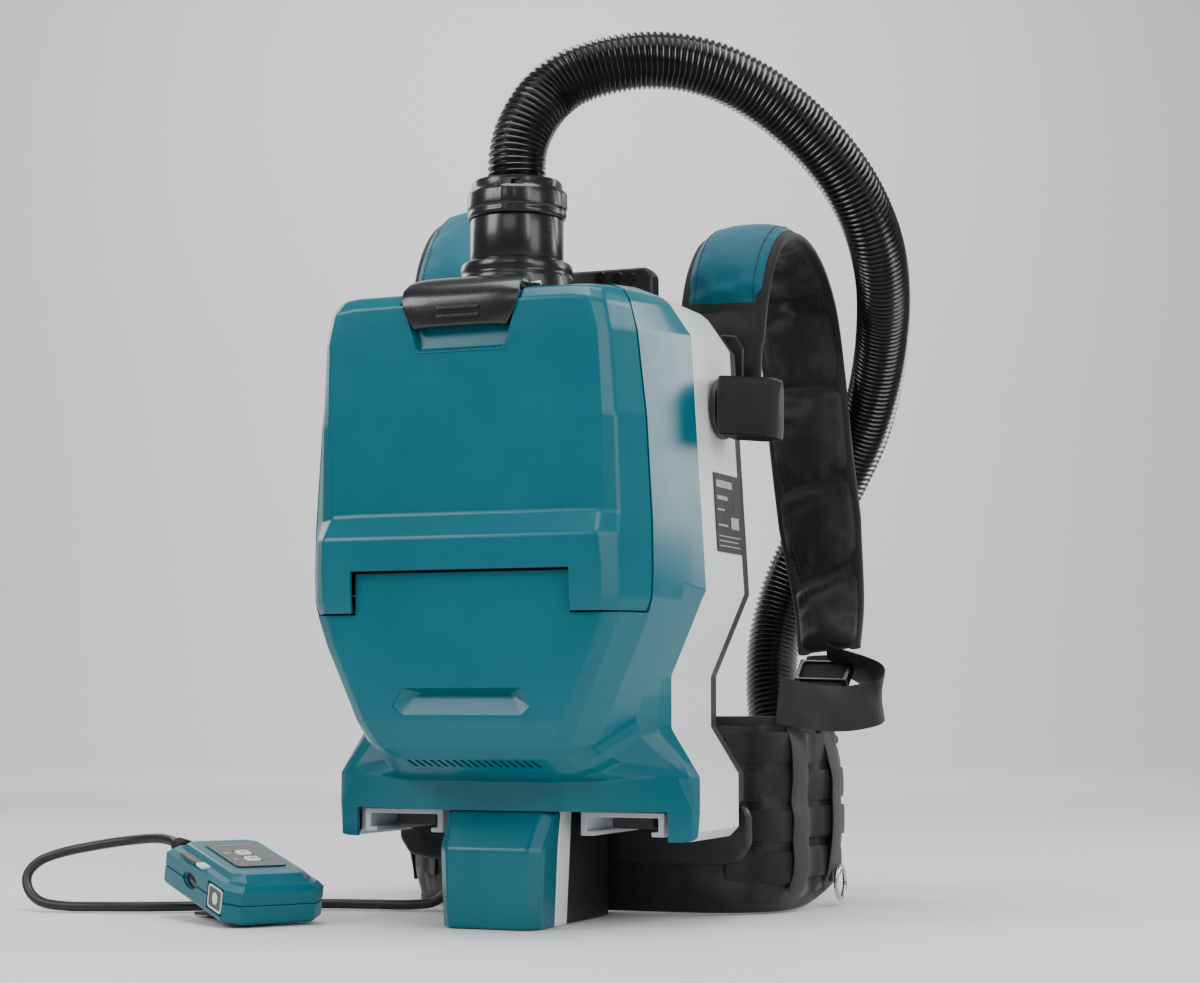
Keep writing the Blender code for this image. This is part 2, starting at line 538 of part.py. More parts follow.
fan = rod("fan_impeller", 0.0042, (0, MOTOR_Y, 0.1265), (0, MOTOR_Y, 0.2160), 12, STEEL, 0.35, 1.0)
disc = rod("cut_fan_disc", 0.0455, (0, MOTOR_Y, 0.1960), (0, MOTOR_Y, 0.1985), 28)
star = []
for i in range(9):
    a = 2 * math.pi * i / 9
    for r, da in ((0.0120, -0.20), (0.0430, 0.24), (0.0430, 0.28), (0.0125, -0.10)):
        star.append((r * math.cos(a + da), MOTOR_Y + r * math.sin(a + da)))
vanes = prism("cut_fan_vanes", star, lambda a, b, t: (a, b, t), 0.1975, 0.2120)
cut(fan, disc, "UNION")
cut(fan, vanes, "UNION")
lathe("motor_mount", [(0.0440, 0.2389), (0.0530, 0.2389), (0.0530, 0.2456), (0.0440, 0.2456)], (0, MOTOR_Y, 0), 24, DARK, 0.9)
box("control_board", (-0.0800, 0.0050, 0.0950), (-0.0784, 0.0800, 0.1850), (0.02, 0.22, 0.09), 0.5)
box("exhaust_foam", (-0.0500, -0.0580, 0.1300), (0.0500, -0.0420, 0.1800), DARK, 0.95)

# -------------------------------------------------------------- battery docks
for side, s in (("left", -1), ("right", 1)):
    xa, xb = 0.0575, 0.1250
    prof = [(xa, 0.0860), (xb, 0.0860), (xb, 0.0680), (xb - 0.0105, 0.0680), (xb - 0.0105, 0.0715), (xb - 0.0050, 0.0715),
            (xb - 0.0050, 0.0820), (xa + 0.0050, 0.0820), (xa + 0.0050, 0.0715), (xa + 0.0105, 0.0715), (xa + 0.0105, 0.0680), (xa, 0.0680)]
    prism("battery_dock_" + side, [(s * a, b) for a, b in prof], lambda a, b, t: (a, t, b), -0.0080, 0.0880, (0.45, 0.47, 0.48), 0.4)
    x0, x1 = sorted((s * 0.0740, s * 0.1085))
    box("battery_terminal_" + side, (x0, 0.0150, 0.0725), (x1, 0.0480, 0.0817), BLACK, 0.5, r=0.001, seg=1)

# ------------------------------------------------------------------- harness
fr = [(0.074, 0.470), (0.140, 0.462), (0.146, 0.452), (0.146, 0.405), (0.138, 0.396), (0.092, 0.386), (0.084, 0.372), (0.084, 0.190), (0.074, 0.180)]
prism("back_frame", mirror_loop(fr), lambda a, b, t: (a, t, b), 0.1184, 0.1230, BLACK, 0.5)
box("back_pad", (-0.080, 0.1234, 0.200), (0.080, 0.1450, 0.452), BLACK, 0.85, r=0.008)


def sgn(path, s):
    return [(s * x, y, z) for x, y, z in path]


STRAP_R = [(0.122, 0.1306, 0.400), (0.122, 0.1312, 0.440), (0.123, 0.1380, 0.485), (0.125, 0.1510, 0.522), (0.127, 0.1780, 0.549),
           (0.130, 0.2160, 0.556), (0.134, 0.2540, 0.542), (0.138, 0.2830, 0.508), (0.141, 0.2980, 0.455), (0.146, 0.3030, 0.385),
           (0.155, 0.3020, 0.310), (0.165, 0.2900, 0.250), (0.171, 0.2690, 0.212)]
STRAP_L = [(0.122, 0.1306, 0.400), (0.122, 0.1312, 0.440), (0.123, 0.1380, 0.495), (0.125, 0.1560, 0.545), (0.127, 0.1900, 0.580),
           (0.130, 0.2360, 0.592), (0.134, 0.2790, 0.575), (0.138, 0.3080, 0.530), (0.141, 0.3200, 0.465), (0.145, 0.3200, 0.385),
           (0.151, 0.3120, 0.310), (0.157, 0.2940, 0.250), (0.160, 0.2690, 0.212)]


def strap_w(u):
    return 0.070 if u < 0.1 else (0.074 if u < 0.8 else 0.074 - 0.022 * (u - 0.8) / 0.2)


strap("shoulder_strap_right", STRAP_R, strap_w, 0.014)
strap("shoulder_strap_left", sgn(STRAP_L, -1), strap_w, 0.014)
strap("strap_webbing_left", sgn([(0.1602, 0.2675, 0.2102), (0.1620, 0.2530, 0.1945), (0.1638, 0.2360, 0.1770), (0.1650, 0.2210, 0.1625)], -1),
      0.038, 0.0030, across=(1, 0, 0))
strap("strap_webbing_right", [(0.1714, 0.2650, 0.2070), (0.1716, 0.2520, 0.1930), (0.1696, 0.2360, 0.1770), (0.1665, 0.2210, 0.1625)],
      0.038, 0.0030, across=(1, 0, 0))

BELT = [(-0.1640, 0.3050, 0), (-0.1655, 0.2500, 0), (-0.1640, 0.1960, 0), (-0.1520, 0.1560, 0), (-0.1200, 0.1330, 0), (-0.0700, 0.1266, 0), (0.0, 0.1262, 0),
        (0.0700, 0.1266, 0), (0.1200, 0.1330, 0), (0.1520, 0.1560, 0), (0.1640, 0.1960, 0), (0.1655, 0.2500, 0), (0.1640, 0.3050, 0)]
belt_pts = resample(catmull(BELT, 8), 0.028)


def band_solid(name, pts, z0, z1, d0, d1, rgb=BLACK, taper=None):
    """Upright band following a plan curve; d0 and d1 are distances out of it."""
    m = len(pts)
    outer, innr = [], []
    for i, p in enumerate(pts):
        t = (pts[min(i + 1, m - 1)] - pts[max(i - 1, 0)]).normalized()
        nrm = Vector((t.y, -t.x, 0))
        outer.append(p + nrm * d1)
        innr.append(p + nrm * d0)
    rings = []
    for i in range(m):
        u = i / (m - 1)
        a, b = (z0, z1) if taper is None else taper(u)
        c = min(0.003, abs(d1 - d0) * 0.3)
        o, q = outer[i], innr[i]
        e = (o - q).normalized() * c
        rings.append([(q.x, q.y, a + c), (q.x + e.x, q.y + e.y, a), (o.x - e.x, o.y - e.y, a), (o.x, o.y, a + c),
                      (o.x, o.y, b - c), (o.x - e.x, o.y - e.y, b), (q.x + e.x, q.y + e.y, b), (q.x, q.y, b - c)])
    return loft(name, rings, rgb, 0.85)


band_solid("hip_belt", belt_pts, 0.0, 0.158, -0.0075, 0.0075,
           taper=lambda u: (0.0, 0.158) if 0.2 < u < 0.8 else (0.0 + 0.016 * (1 - min(u, 1 - u) / 0.2), 0.158 - 0.020 * (1 - min(u, 1 - u) / 0.2)))
m = len(belt_pts)
for side, sl in (("left", belt_pts[1:6]), ("right", belt_pts[m - 6:m - 1])):
    band_solid("belt_webbing_upper_" + side, sl, 0.0880, 0.1130, 0.0079, 0.0104)
    band_solid("belt_webbing_lower_" + side, sl, 0.0450, 0.0700, 0.0079, 0.0104)
waist = belt_pts[m - 6:m - 1]
mid_p = waist[2]
box("d_ring_tab", (0.1765, 0.2430, 0.0200), (0.1795, 0.2630, 0.0420), BLACK, 0.8, r=0.001, seg=1)


def torus(name, centre, R, r, axis, n=20, k=8, rgb=STEEL):
    v, f = [], []
    for i in range(n):
        a = 2 * math.pi * i / n
        for j in range(k):
            b = 2 * math.pi * j / k
            rr, t = R + r * math.cos(b), r * math.sin(b)
            p = (rr * math.cos(a), t, rr * math.sin(a)) if axis == "Y" else (t, rr * math.cos(a), rr * math.sin(a))
            v.append(tuple(c + q for c, q in zip(centre, p)))
    for i in range(n):
        for j in range(k):
            f.append((i * k + j, ((i + 1) % n) * k + j, ((i + 1) % n) * k + (j + 1) % k, i * k + (j + 1) % k))
    return put(name, v, f, rgb, 0.25, 1.0, smooth=60)


torus("d_ring", (0.1840, 0.2530, 0.0190), 0.0130, 0.0020, "X")

# -------------------------------------------------------------------- remote
RC = Vector((-0.182, -0.122, 0.0))
RW = Vector((0.5779, 0.8161, 0.0)).normalized()
_l = Vector((-RW.y, RW.x, 0.0))
TILT = math.radians(12)
RL = _l * math.cos(TILT) + Vector((0, 0, 1)) * math.sin(TILT)
RN = Vector((0, 0, 1)) * math.cos(TILT) - _l * math.sin(TILT)
R_LEN, R_WID, R_T = 0.130, 0.084, 0.0360


def rp(w, l, h):
    return tuple(RC + RW * w + RL * l + RN * h)


def rblock(name, w0, w1, l0, l1, h0, h1, c, rgb, rough=0.4, crown=0.0):
    """Chamfered block in the remote's own axes, crowned on top or below."""
    o = [(w0 + c, l0), (w1 - c, l0), (w1, l0 + c), (w1, l1 - c), (w1 - c, l1), (w0 + c, l1), (w0, l1 - c), (w0, l0 + c)]
    cx, cy = (w0 + w1) / 2, (l0 + l1) / 2

    def shrink(d):
        return [(a + (d if a < cx else -d), b + (d if b < cy else -d)) for a, b in o]
    lev = [(h0, 0.0), (h1, 0.0)]
    if crown > 0:
        lev = [(h0, 0.0), (h1 - crown, 0.0), (h1, crown * 0.9)]
    elif crown < 0:
        lev = [(h0, -crown * 0.9), (h0 - crown, 0.0), (h1, 0.0)]
    return loft(name, [[rp(a, b, h) for a, b in shrink(d)] for h, d in lev], rgb, rough)


rem_bottom = rblock("remote_case_bottom", 0.0, R_WID, 0.0, R_LEN, 0.0006, 0.0158, 0.008, TEAL, 0.35, crown=-0.003)
rem_top = rblock("remote_case_top", 0.0, R_WID, 0.0, R_LEN, 0.0161, R_T, 0.008, TEAL, 0.35, crown=0.007)
pocket = rblock("cut_power_pocket", -0.002, 0.0045, 0.0110, 0.0390, 0.0055, 0.0265, 0.0005, BLACK)
cut(rem_top, pocket)
cut(rem_bottom, pocket)
panel = rblock("remote_display_panel", 0.0220, 0.0640, 0.0360, 0.1020, R_T + 0.0003, R_T + 0.0011, 0.002, DARK, 0.2)
for nm, (w0, w1, l0, l1) in {"a": (0.037, 0.049, 0.050, 0.062), "b": (0.037, 0.049, 0.068, 0.080)}.items():
    k = rblock("cut_key_" + nm, w0 - 0.0005, w1 + 0.0005, l0 - 0.0005, l1 + 0.0005, R_T - 0.0045, R_T + 0.004, 0.001, BLACK)
    cut(rem_top, k)
    cut(panel, k)
rblock("remote_power_button", 0.0004, 0.0030, 0.0120, 0.0380, 0.0065, 0.0255, 0.0003, BLACK, 0.4)
rblock("remote_start_button", 0.037, 0.049, 0.050, 0.062, R_T - 0.0030, R_T + 0.0018, 0.001, WHITE, 0.4)
rblock("remote_mode_button", 0.037, 0.049, 0.068, 0.080, R_T - 0.0030, R_T + 0.0018, 0.001, WHITE, 0.4)
clip = [(0.030, 0.0003), (0.124, 0.0003), (0.124, -0.0026), (0.056, -0.0030), (0.113, -0.0205), (0.112, -0.0230), (0.046, -0.0060), (0.030, -0.0030)]
loft("remote_belt_clip", [[rp(w, a, b) for a, b in clip] for w in (0.024, 0.060)], BLACK, 0.5)
rod("remote_strain_relief", 0.0078, rp(0.020, R_LEN + 0.0004, 0.0245), rp(0.020, R_LEN + 0.0170, 0.0245), 14, BLACK, 0.5, r1=0.0056)

# ---------------------------------------------------------------- remote cord
GLAND_Y, GLAND_Z = 0.0860, 0.0380
rod("cord_gland", 0.0080, (-0.0390, GLAND_Y, GLAND_Z), (-0.0540, GLAND_Y, GLAND_Z), 14, BLACK, 0.5, r1=0.0060)
E_END = Vector(rp(0.020, R_LEN + 0.0173, 0.0245))
D_END = RL
CORD = [(-0.0543, GLAND_Y, GLAND_Z), (-0.0700, GLAND_Y, GLAND_Z), (-0.0835, 0.0855, 0.0320), (-0.0945, 0.0835, 0.0180), (-0.1065, 0.0795, 0.0072),
        (-0.1240, 0.0740, 0.0046), (-0.1550, 0.0670, 0.0044), (-0.1900, 0.0590, 0.0044), (-0.2250, 0.0430, 0.0044), (-0.2560, 0.0190, 0.0044),
        (-0.2840, -0.0040, 0.0044), (-0.3150, -0.0230, 0.0044), (-0.3480, -0.0350, 0.0044), (-0.3800, -0.0420, 0.0046), (-0.4020, -0.0430, 0.0078),
        (-0.4150, -0.0400, 0.0165), (-0.4205, -0.0340, 0.0280), (-0.4150, -0.0270, 0.0380), (-0.3990, -0.0205, 0.0450), (-0.3720, -0.0140, 0.0510),
        (-0.3400, -0.0080, 0.0560)]
CORD += [tuple(E_END + D_END * 0.024 + Vector((-0.004, -0.003, -0.0010))), tuple(E_END + D_END * 0.010), tuple(E_END)]
cord_pts = resample(catmull(CORD, 8), 0.0150)
tube("remote_cord", cord_pts, CORD_D, 2, BLACK, 0.5)
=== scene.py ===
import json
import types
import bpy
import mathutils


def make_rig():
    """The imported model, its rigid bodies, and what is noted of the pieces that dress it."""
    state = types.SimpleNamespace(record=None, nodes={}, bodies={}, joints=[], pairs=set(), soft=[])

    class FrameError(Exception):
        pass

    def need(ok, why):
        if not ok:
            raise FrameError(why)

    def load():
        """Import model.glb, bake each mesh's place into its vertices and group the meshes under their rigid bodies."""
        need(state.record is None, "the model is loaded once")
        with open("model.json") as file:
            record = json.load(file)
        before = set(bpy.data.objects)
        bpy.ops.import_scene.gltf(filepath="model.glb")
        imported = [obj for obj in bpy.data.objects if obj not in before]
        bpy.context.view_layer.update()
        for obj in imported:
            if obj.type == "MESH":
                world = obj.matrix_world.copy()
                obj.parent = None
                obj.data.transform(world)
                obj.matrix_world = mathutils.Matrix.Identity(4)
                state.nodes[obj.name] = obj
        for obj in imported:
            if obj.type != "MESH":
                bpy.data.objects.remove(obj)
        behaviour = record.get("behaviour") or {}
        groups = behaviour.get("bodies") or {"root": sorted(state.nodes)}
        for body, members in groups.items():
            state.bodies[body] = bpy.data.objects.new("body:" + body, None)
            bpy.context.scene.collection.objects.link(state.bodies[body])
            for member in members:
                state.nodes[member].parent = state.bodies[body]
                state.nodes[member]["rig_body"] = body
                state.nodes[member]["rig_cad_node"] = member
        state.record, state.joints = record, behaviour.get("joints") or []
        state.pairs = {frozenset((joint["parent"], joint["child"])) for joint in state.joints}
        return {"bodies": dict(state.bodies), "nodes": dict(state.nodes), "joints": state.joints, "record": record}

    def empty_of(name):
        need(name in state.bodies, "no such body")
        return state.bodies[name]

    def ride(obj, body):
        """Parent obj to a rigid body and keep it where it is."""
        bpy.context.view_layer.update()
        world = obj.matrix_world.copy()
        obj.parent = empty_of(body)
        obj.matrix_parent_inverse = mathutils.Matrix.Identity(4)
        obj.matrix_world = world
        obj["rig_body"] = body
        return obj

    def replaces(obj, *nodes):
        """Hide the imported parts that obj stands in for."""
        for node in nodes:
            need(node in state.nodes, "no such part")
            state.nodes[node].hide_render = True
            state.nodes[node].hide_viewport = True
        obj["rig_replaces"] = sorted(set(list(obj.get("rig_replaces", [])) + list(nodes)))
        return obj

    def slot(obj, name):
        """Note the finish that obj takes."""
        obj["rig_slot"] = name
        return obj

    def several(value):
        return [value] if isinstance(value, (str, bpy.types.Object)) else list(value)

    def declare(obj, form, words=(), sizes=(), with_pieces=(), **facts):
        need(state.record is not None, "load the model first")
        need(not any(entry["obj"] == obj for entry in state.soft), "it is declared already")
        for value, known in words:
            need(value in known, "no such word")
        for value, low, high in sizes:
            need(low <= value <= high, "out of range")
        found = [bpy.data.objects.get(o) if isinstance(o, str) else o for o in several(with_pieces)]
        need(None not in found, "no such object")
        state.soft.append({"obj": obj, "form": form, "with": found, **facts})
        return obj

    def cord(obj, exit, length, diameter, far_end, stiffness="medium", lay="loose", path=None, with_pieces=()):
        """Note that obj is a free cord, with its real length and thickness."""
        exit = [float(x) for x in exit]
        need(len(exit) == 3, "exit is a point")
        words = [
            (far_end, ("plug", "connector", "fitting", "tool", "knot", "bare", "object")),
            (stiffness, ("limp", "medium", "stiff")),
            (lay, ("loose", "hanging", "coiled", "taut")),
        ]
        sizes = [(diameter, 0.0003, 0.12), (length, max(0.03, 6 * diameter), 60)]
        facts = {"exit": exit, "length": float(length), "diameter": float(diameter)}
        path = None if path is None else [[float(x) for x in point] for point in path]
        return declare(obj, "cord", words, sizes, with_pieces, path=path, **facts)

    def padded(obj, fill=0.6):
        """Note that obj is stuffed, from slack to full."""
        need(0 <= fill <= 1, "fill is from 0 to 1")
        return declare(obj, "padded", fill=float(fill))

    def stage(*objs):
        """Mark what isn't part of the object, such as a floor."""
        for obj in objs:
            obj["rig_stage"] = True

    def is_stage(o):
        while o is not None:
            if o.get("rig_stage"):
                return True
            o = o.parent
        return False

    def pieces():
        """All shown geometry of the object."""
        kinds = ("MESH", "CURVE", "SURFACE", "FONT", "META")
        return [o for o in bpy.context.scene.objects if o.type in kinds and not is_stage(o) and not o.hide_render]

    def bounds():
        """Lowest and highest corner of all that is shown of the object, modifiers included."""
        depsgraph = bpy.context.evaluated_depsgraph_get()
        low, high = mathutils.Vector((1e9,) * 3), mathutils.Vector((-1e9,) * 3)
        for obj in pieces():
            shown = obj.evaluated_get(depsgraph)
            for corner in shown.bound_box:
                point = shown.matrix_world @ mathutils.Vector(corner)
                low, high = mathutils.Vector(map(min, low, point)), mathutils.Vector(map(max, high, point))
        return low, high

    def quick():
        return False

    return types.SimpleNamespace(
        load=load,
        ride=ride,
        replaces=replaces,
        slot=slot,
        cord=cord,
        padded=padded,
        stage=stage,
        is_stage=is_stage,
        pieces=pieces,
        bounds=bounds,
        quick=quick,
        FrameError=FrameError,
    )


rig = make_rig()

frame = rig.load()

import json
import math

import bmesh
import bpy
import numpy as np
from mathutils import Matrix, Vector, noise

CAD_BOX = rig.bounds()
NODES = frame["nodes"]
BODY = {}
for _b, _ns in frame["record"]["behaviour"]["bodies"].items():
    for _n in _ns:
        BODY[_n] = _b
SLOT = {s["node"]: s["material_slot"] for s in frame["record"]["subparts"]}
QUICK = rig.quick()

# ------------------------------------------------------------------- camera
cam_data = bpy.data.cameras.new("camera")
cam = bpy.data.objects.new("camera", cam_data)
bpy.context.scene.collection.objects.link(cam)
cam.location = (0.764, -1.7175, 0.170)
cam.rotation_euler = (math.radians(90 + 4.904), 0.0, math.radians(22.0))
cam_data.sensor_width = 36.0
cam_data.lens = 72.9
bpy.context.scene.camera = cam

# -------------------------------------------------------------------- stage


def link(ob):
    bpy.context.scene.collection.objects.link(ob)
    return ob


def stage_material():
    m = bpy.data.materials.new("stage_paper")
    m.use_nodes = True
    b = m.node_tree.nodes["Principled BSDF"]
    b.inputs["Base Color"].default_value = (0.80, 0.80, 0.80, 1)
    b.inputs["Roughness"].default_value = 0.7
    return m


def backdrop():
    prof = [(-6.0, -0.0006)]
    prof += [(4.2, -0.0006)]
    for i in range(1, 17):
        a = math.pi / 2 * i / 16
        prof.append((4.2 + 1.2 * math.sin(a), -0.0006 + 1.2 * (1 - math.cos(a))))
    prof.append((5.4, 5.0))
    me = bpy.data.meshes.new("stage_floor")
    v, f = [], []
    for y, z in prof:
        v += [(-7.0, y, z), (7.0, y, z)]
    for i in range(len(prof) - 1):
        f.append((2 * i, 2 * i + 1, 2 * i + 3, 2 * i + 2))
    me.from_pydata(v, [], f)
    me.shade_smooth()
    me.materials.append(stage_material())
    ob = link(bpy.data.objects.new("stage_floor", me))
    # the sweep stands square to the camera
    ob.rotation_euler = (0, 0, math.radians(22))
    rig.stage(ob)


backdrop()


def area(name, loc, target, size, power, size_y=None, color=(1, 1, 1)):
    d = bpy.data.lights.new(name, "AREA")
    d.energy = power
    d.size = size
    if size_y:
        d.shape = "RECTANGLE"
        d.size_y = size_y
    d.color = color
    o = link(bpy.data.objects.new(name, d))
    o.location = loc
    o.rotation_euler = (Vector(target) - Vector(loc)).to_track_quat("-Z", "Y").to_euler()
    return o


area("key_left", (-1.3, -1.5, 1.45), (0, 0, 0.30), 0.9, 24, 1.0)
area("front_soft", (0.2, -2.6, 1.7), (0, 0, 0.25), 1.4, 8, 0.8)
area("fill_right", (2.0, -0.8, 0.85), (0, 0.1, 0.30), 0.8, 12, 1.3)
area("facet_strip", (1.9, -1.5, 1.5), (0.05, 0, 0.32), 0.30, 12, 1.5)
area("top_soft", (0.1, -0.1, 2.0), (0, 0.1, 0.3), 1.3, 30, 1.2)
area("rim_left", (-1.5, 0.9, 1.2), (0, 0.1, 0.35), 0.6, 9, 1.2)
area("rim_right", (1.5, 1.4, 1.1), (0.05, 0.2, 0.35), 0.7, 26, 1.2)
area("backdrop_glow", (-1.2, 2.6, 2.6), (-1.9, 4.6, 0.9), 2.5, 90, 1.5)
w = bpy.data.worlds.new("studio")
w.use_nodes = True
w.node_tree.nodes["Background"].inputs[0].default_value = (0.86, 0.88, 0.90, 1)
w.node_tree.nodes["Background"].inputs[1].default_value = 0.26
bpy.context.scene.world = w

# ---------------------------------------------------------------- materials


class NT:
    """Small helper over a node tree."""

    def __init__(self, mat):
        self.t = mat.node_tree
        self.bsdf = self.t.nodes["Principled BSDF"]

    def n(self, kind, **kw):
        nd = self.t.nodes.new("ShaderNode" + kind)
        for k, v in kw.items():
            if k in nd.inputs.keys():
                nd.inputs[k].default_value = v
            else:
                setattr(nd, k, v)
        return nd

    def l(self, a, b):
        self.t.links.new(a, b)

    def noise(self, vec, scale, detail=3, rough=0.55):
        nd = self.n("TexNoise")
        nd.inputs["Scale"].default_value = scale
        nd.inputs["Detail"].default_value = detail
        nd.inputs["Roughness"].default_value = rough
        self.l(vec, nd.inputs["Vector"])
        return nd.outputs["Fac"]

    def ramp(self, fac, a, b, c0, c1):
        nd = self.n("ValToRGB")
        e = nd.color_ramp.elements
        e[0].position, e[1].position = a, b
        e[0].color = (*c0, 1) if isinstance(c0, tuple) else (c0, c0, c0, 1)
        e[1].color = (*c1, 1) if isinstance(c1, tuple) else (c1, c1, c1, 1)
        self.l(fac, nd.inputs["Fac"])
        return nd.outputs["Color"]

    def math(self, op, a, b=None):
        nd = self.n("Math", operation=op)
        for i, s in enumerate((a, b)):
            if s is None:
                continue
            if isinstance(s, (int, float)):
                nd.inputs[i].default_value = s
            else:
                self.l(s, nd.inputs[i])
        return nd.outputs[0]

    def bump(self, height, strength, dist, normal=None):
        nd = self.n("Bump")
        nd.inputs["Strength"].default_value = strength
        nd.inputs["Distance"].default_value = dist
        self.l(height, nd.inputs["Height"])
        if normal is not None:
            self.l(normal, nd.inputs["Normal"])
        return nd.outputs["Normal"]


def base_mat(name, rgb, rough, metal=0.0, coat=0.0, coat_rough=0.1, sheen=0.0, spec=0.5):
    m = bpy.data.materials.new(name)
    m.use_nodes = True
    b = m.node_tree.nodes["Principled BSDF"]
    b.inputs["Base Color"].default_value = (*rgb, 1)
    b.inputs["Roughness"].default_value = rough
    b.inputs["Metallic"].default_value = metal
    b.inputs["Coat Weight"].default_value = coat
    b.inputs["Coat Roughness"].default_value = coat_rough
    b.inputs["Sheen Weight"].default_value = sheen
    b.inputs["Sheen Roughness"].default_value = 0.5
    b.inputs["Specular IOR Level"].default_value = spec
    m.diffuse_color = (*rgb, 1)
    return m


def plastic(name, rgb, rough=0.35, grain=2600.0, depth=0.00002, vary=0.10, coat=0.0, scuff=0.12, metal=0.0, coat_rough=0.12):
    """Moulded plastic: fine spark-eroded grain, slow colour drift, faint handling marks."""
    m = base_mat(name, rgb, rough, metal, coat, coat_rough)
    t = NT(m)
    co = t.n("TexCoord").outputs["Object"]
    slow = t.noise(co, 14.0, 3)
    dark = tuple(c * (1 - vary) for c in rgb)
    lite = tuple(min(1.0, c * (1 + vary) + 0.002) for c in rgb)
    t.l(t.ramp(slow, 0.3, 0.7, dark, lite), t.bsdf.inputs["Base Color"])
    marks = t.noise(co, 90.0, 6, 0.7)
    r = t.ramp(marks, 0.35, 0.75, max(0.02, rough - scuff * 0.4), min(1.0, rough + scuff))
    t.l(r, t.bsdf.inputs["Roughness"])
    g = t.noise(co, grain, 2, 0.6)
    soft = t.noise(co, 30.0, 2)
    n1 = t.bump(soft, 0.025, 0.0004)
    t.l(t.bump(g, 0.25, depth * 4, n1), t.bsdf.inputs["Normal"])
    return m


def woven(name, rgb, pitch=0.0012, depth=0.00018, rough=0.85, sheen=0.35, vary=0.25, rib=False):
    """Woven nylon: over-and-under yarn in two directions with slow fading."""
    m = base_mat(name, rgb, rough, 0.0, 0.0, 0.1, sheen, 0.25)
    t = NT(m)
    co = t.n("TexCoord").outputs["Object"]
    sp = t.n("SeparateXYZ")
    t.l(co, sp.inputs[0])
    u = t.math("ADD", sp.outputs[0], sp.outputs[1])
    v = t.math("ADD", sp.outputs[2], t.math("MULTIPLY", sp.outputs[1], 0.35))
    k = 2 * math.pi / pitch
    wob = t.math("MULTIPLY", t.noise(co, 60.0, 2), 1.4)
    su = t.math("SINE", t.math("ADD", t.math("MULTIPLY", u, k * (0.35 if rib else 1.0)), wob))
    sv = t.math("SINE", t.math("ADD", t.math("MULTIPLY", v, k), wob))
    wv = t.math("MULTIPLY", su, sv) if not rib else t.math("ADD", t.math("MULTIPLY", sv, 0.8), t.math("MULTIPLY", su, 0.2))
    h = t.math("ADD", t.math("MULTIPLY", wv, 0.5), 0.5)
    slow = t.noise(co, 22.0, 4)
    fuzz = t.noise(co, 900.0, 3, 0.7)
    c = t.ramp(t.math("ADD", t.math("MULTIPLY", h, 0.5), t.math("MULTIPLY", slow, 0.6)), 0.25, 0.95,
               tuple(x * (1 - vary) for x in rgb), tuple(min(1, x * (1 + vary * 2.2) + 0.004) for x in rgb))
    t.l(c, t.bsdf.inputs["Base Color"])
    n1 = t.bump(slow, 0.25, 0.0018)
    n2 = t.bump(fuzz, 0.25, 0.0002, n1)
    t.l(t.bump(h, 0.7, depth, n2), t.bsdf.inputs["Normal"])
    t.l(t.ramp(fuzz, 0.3, 0.7, rough - 0.08, min(1, rough + 0.08)), t.bsdf.inputs["Roughness"])
    return m


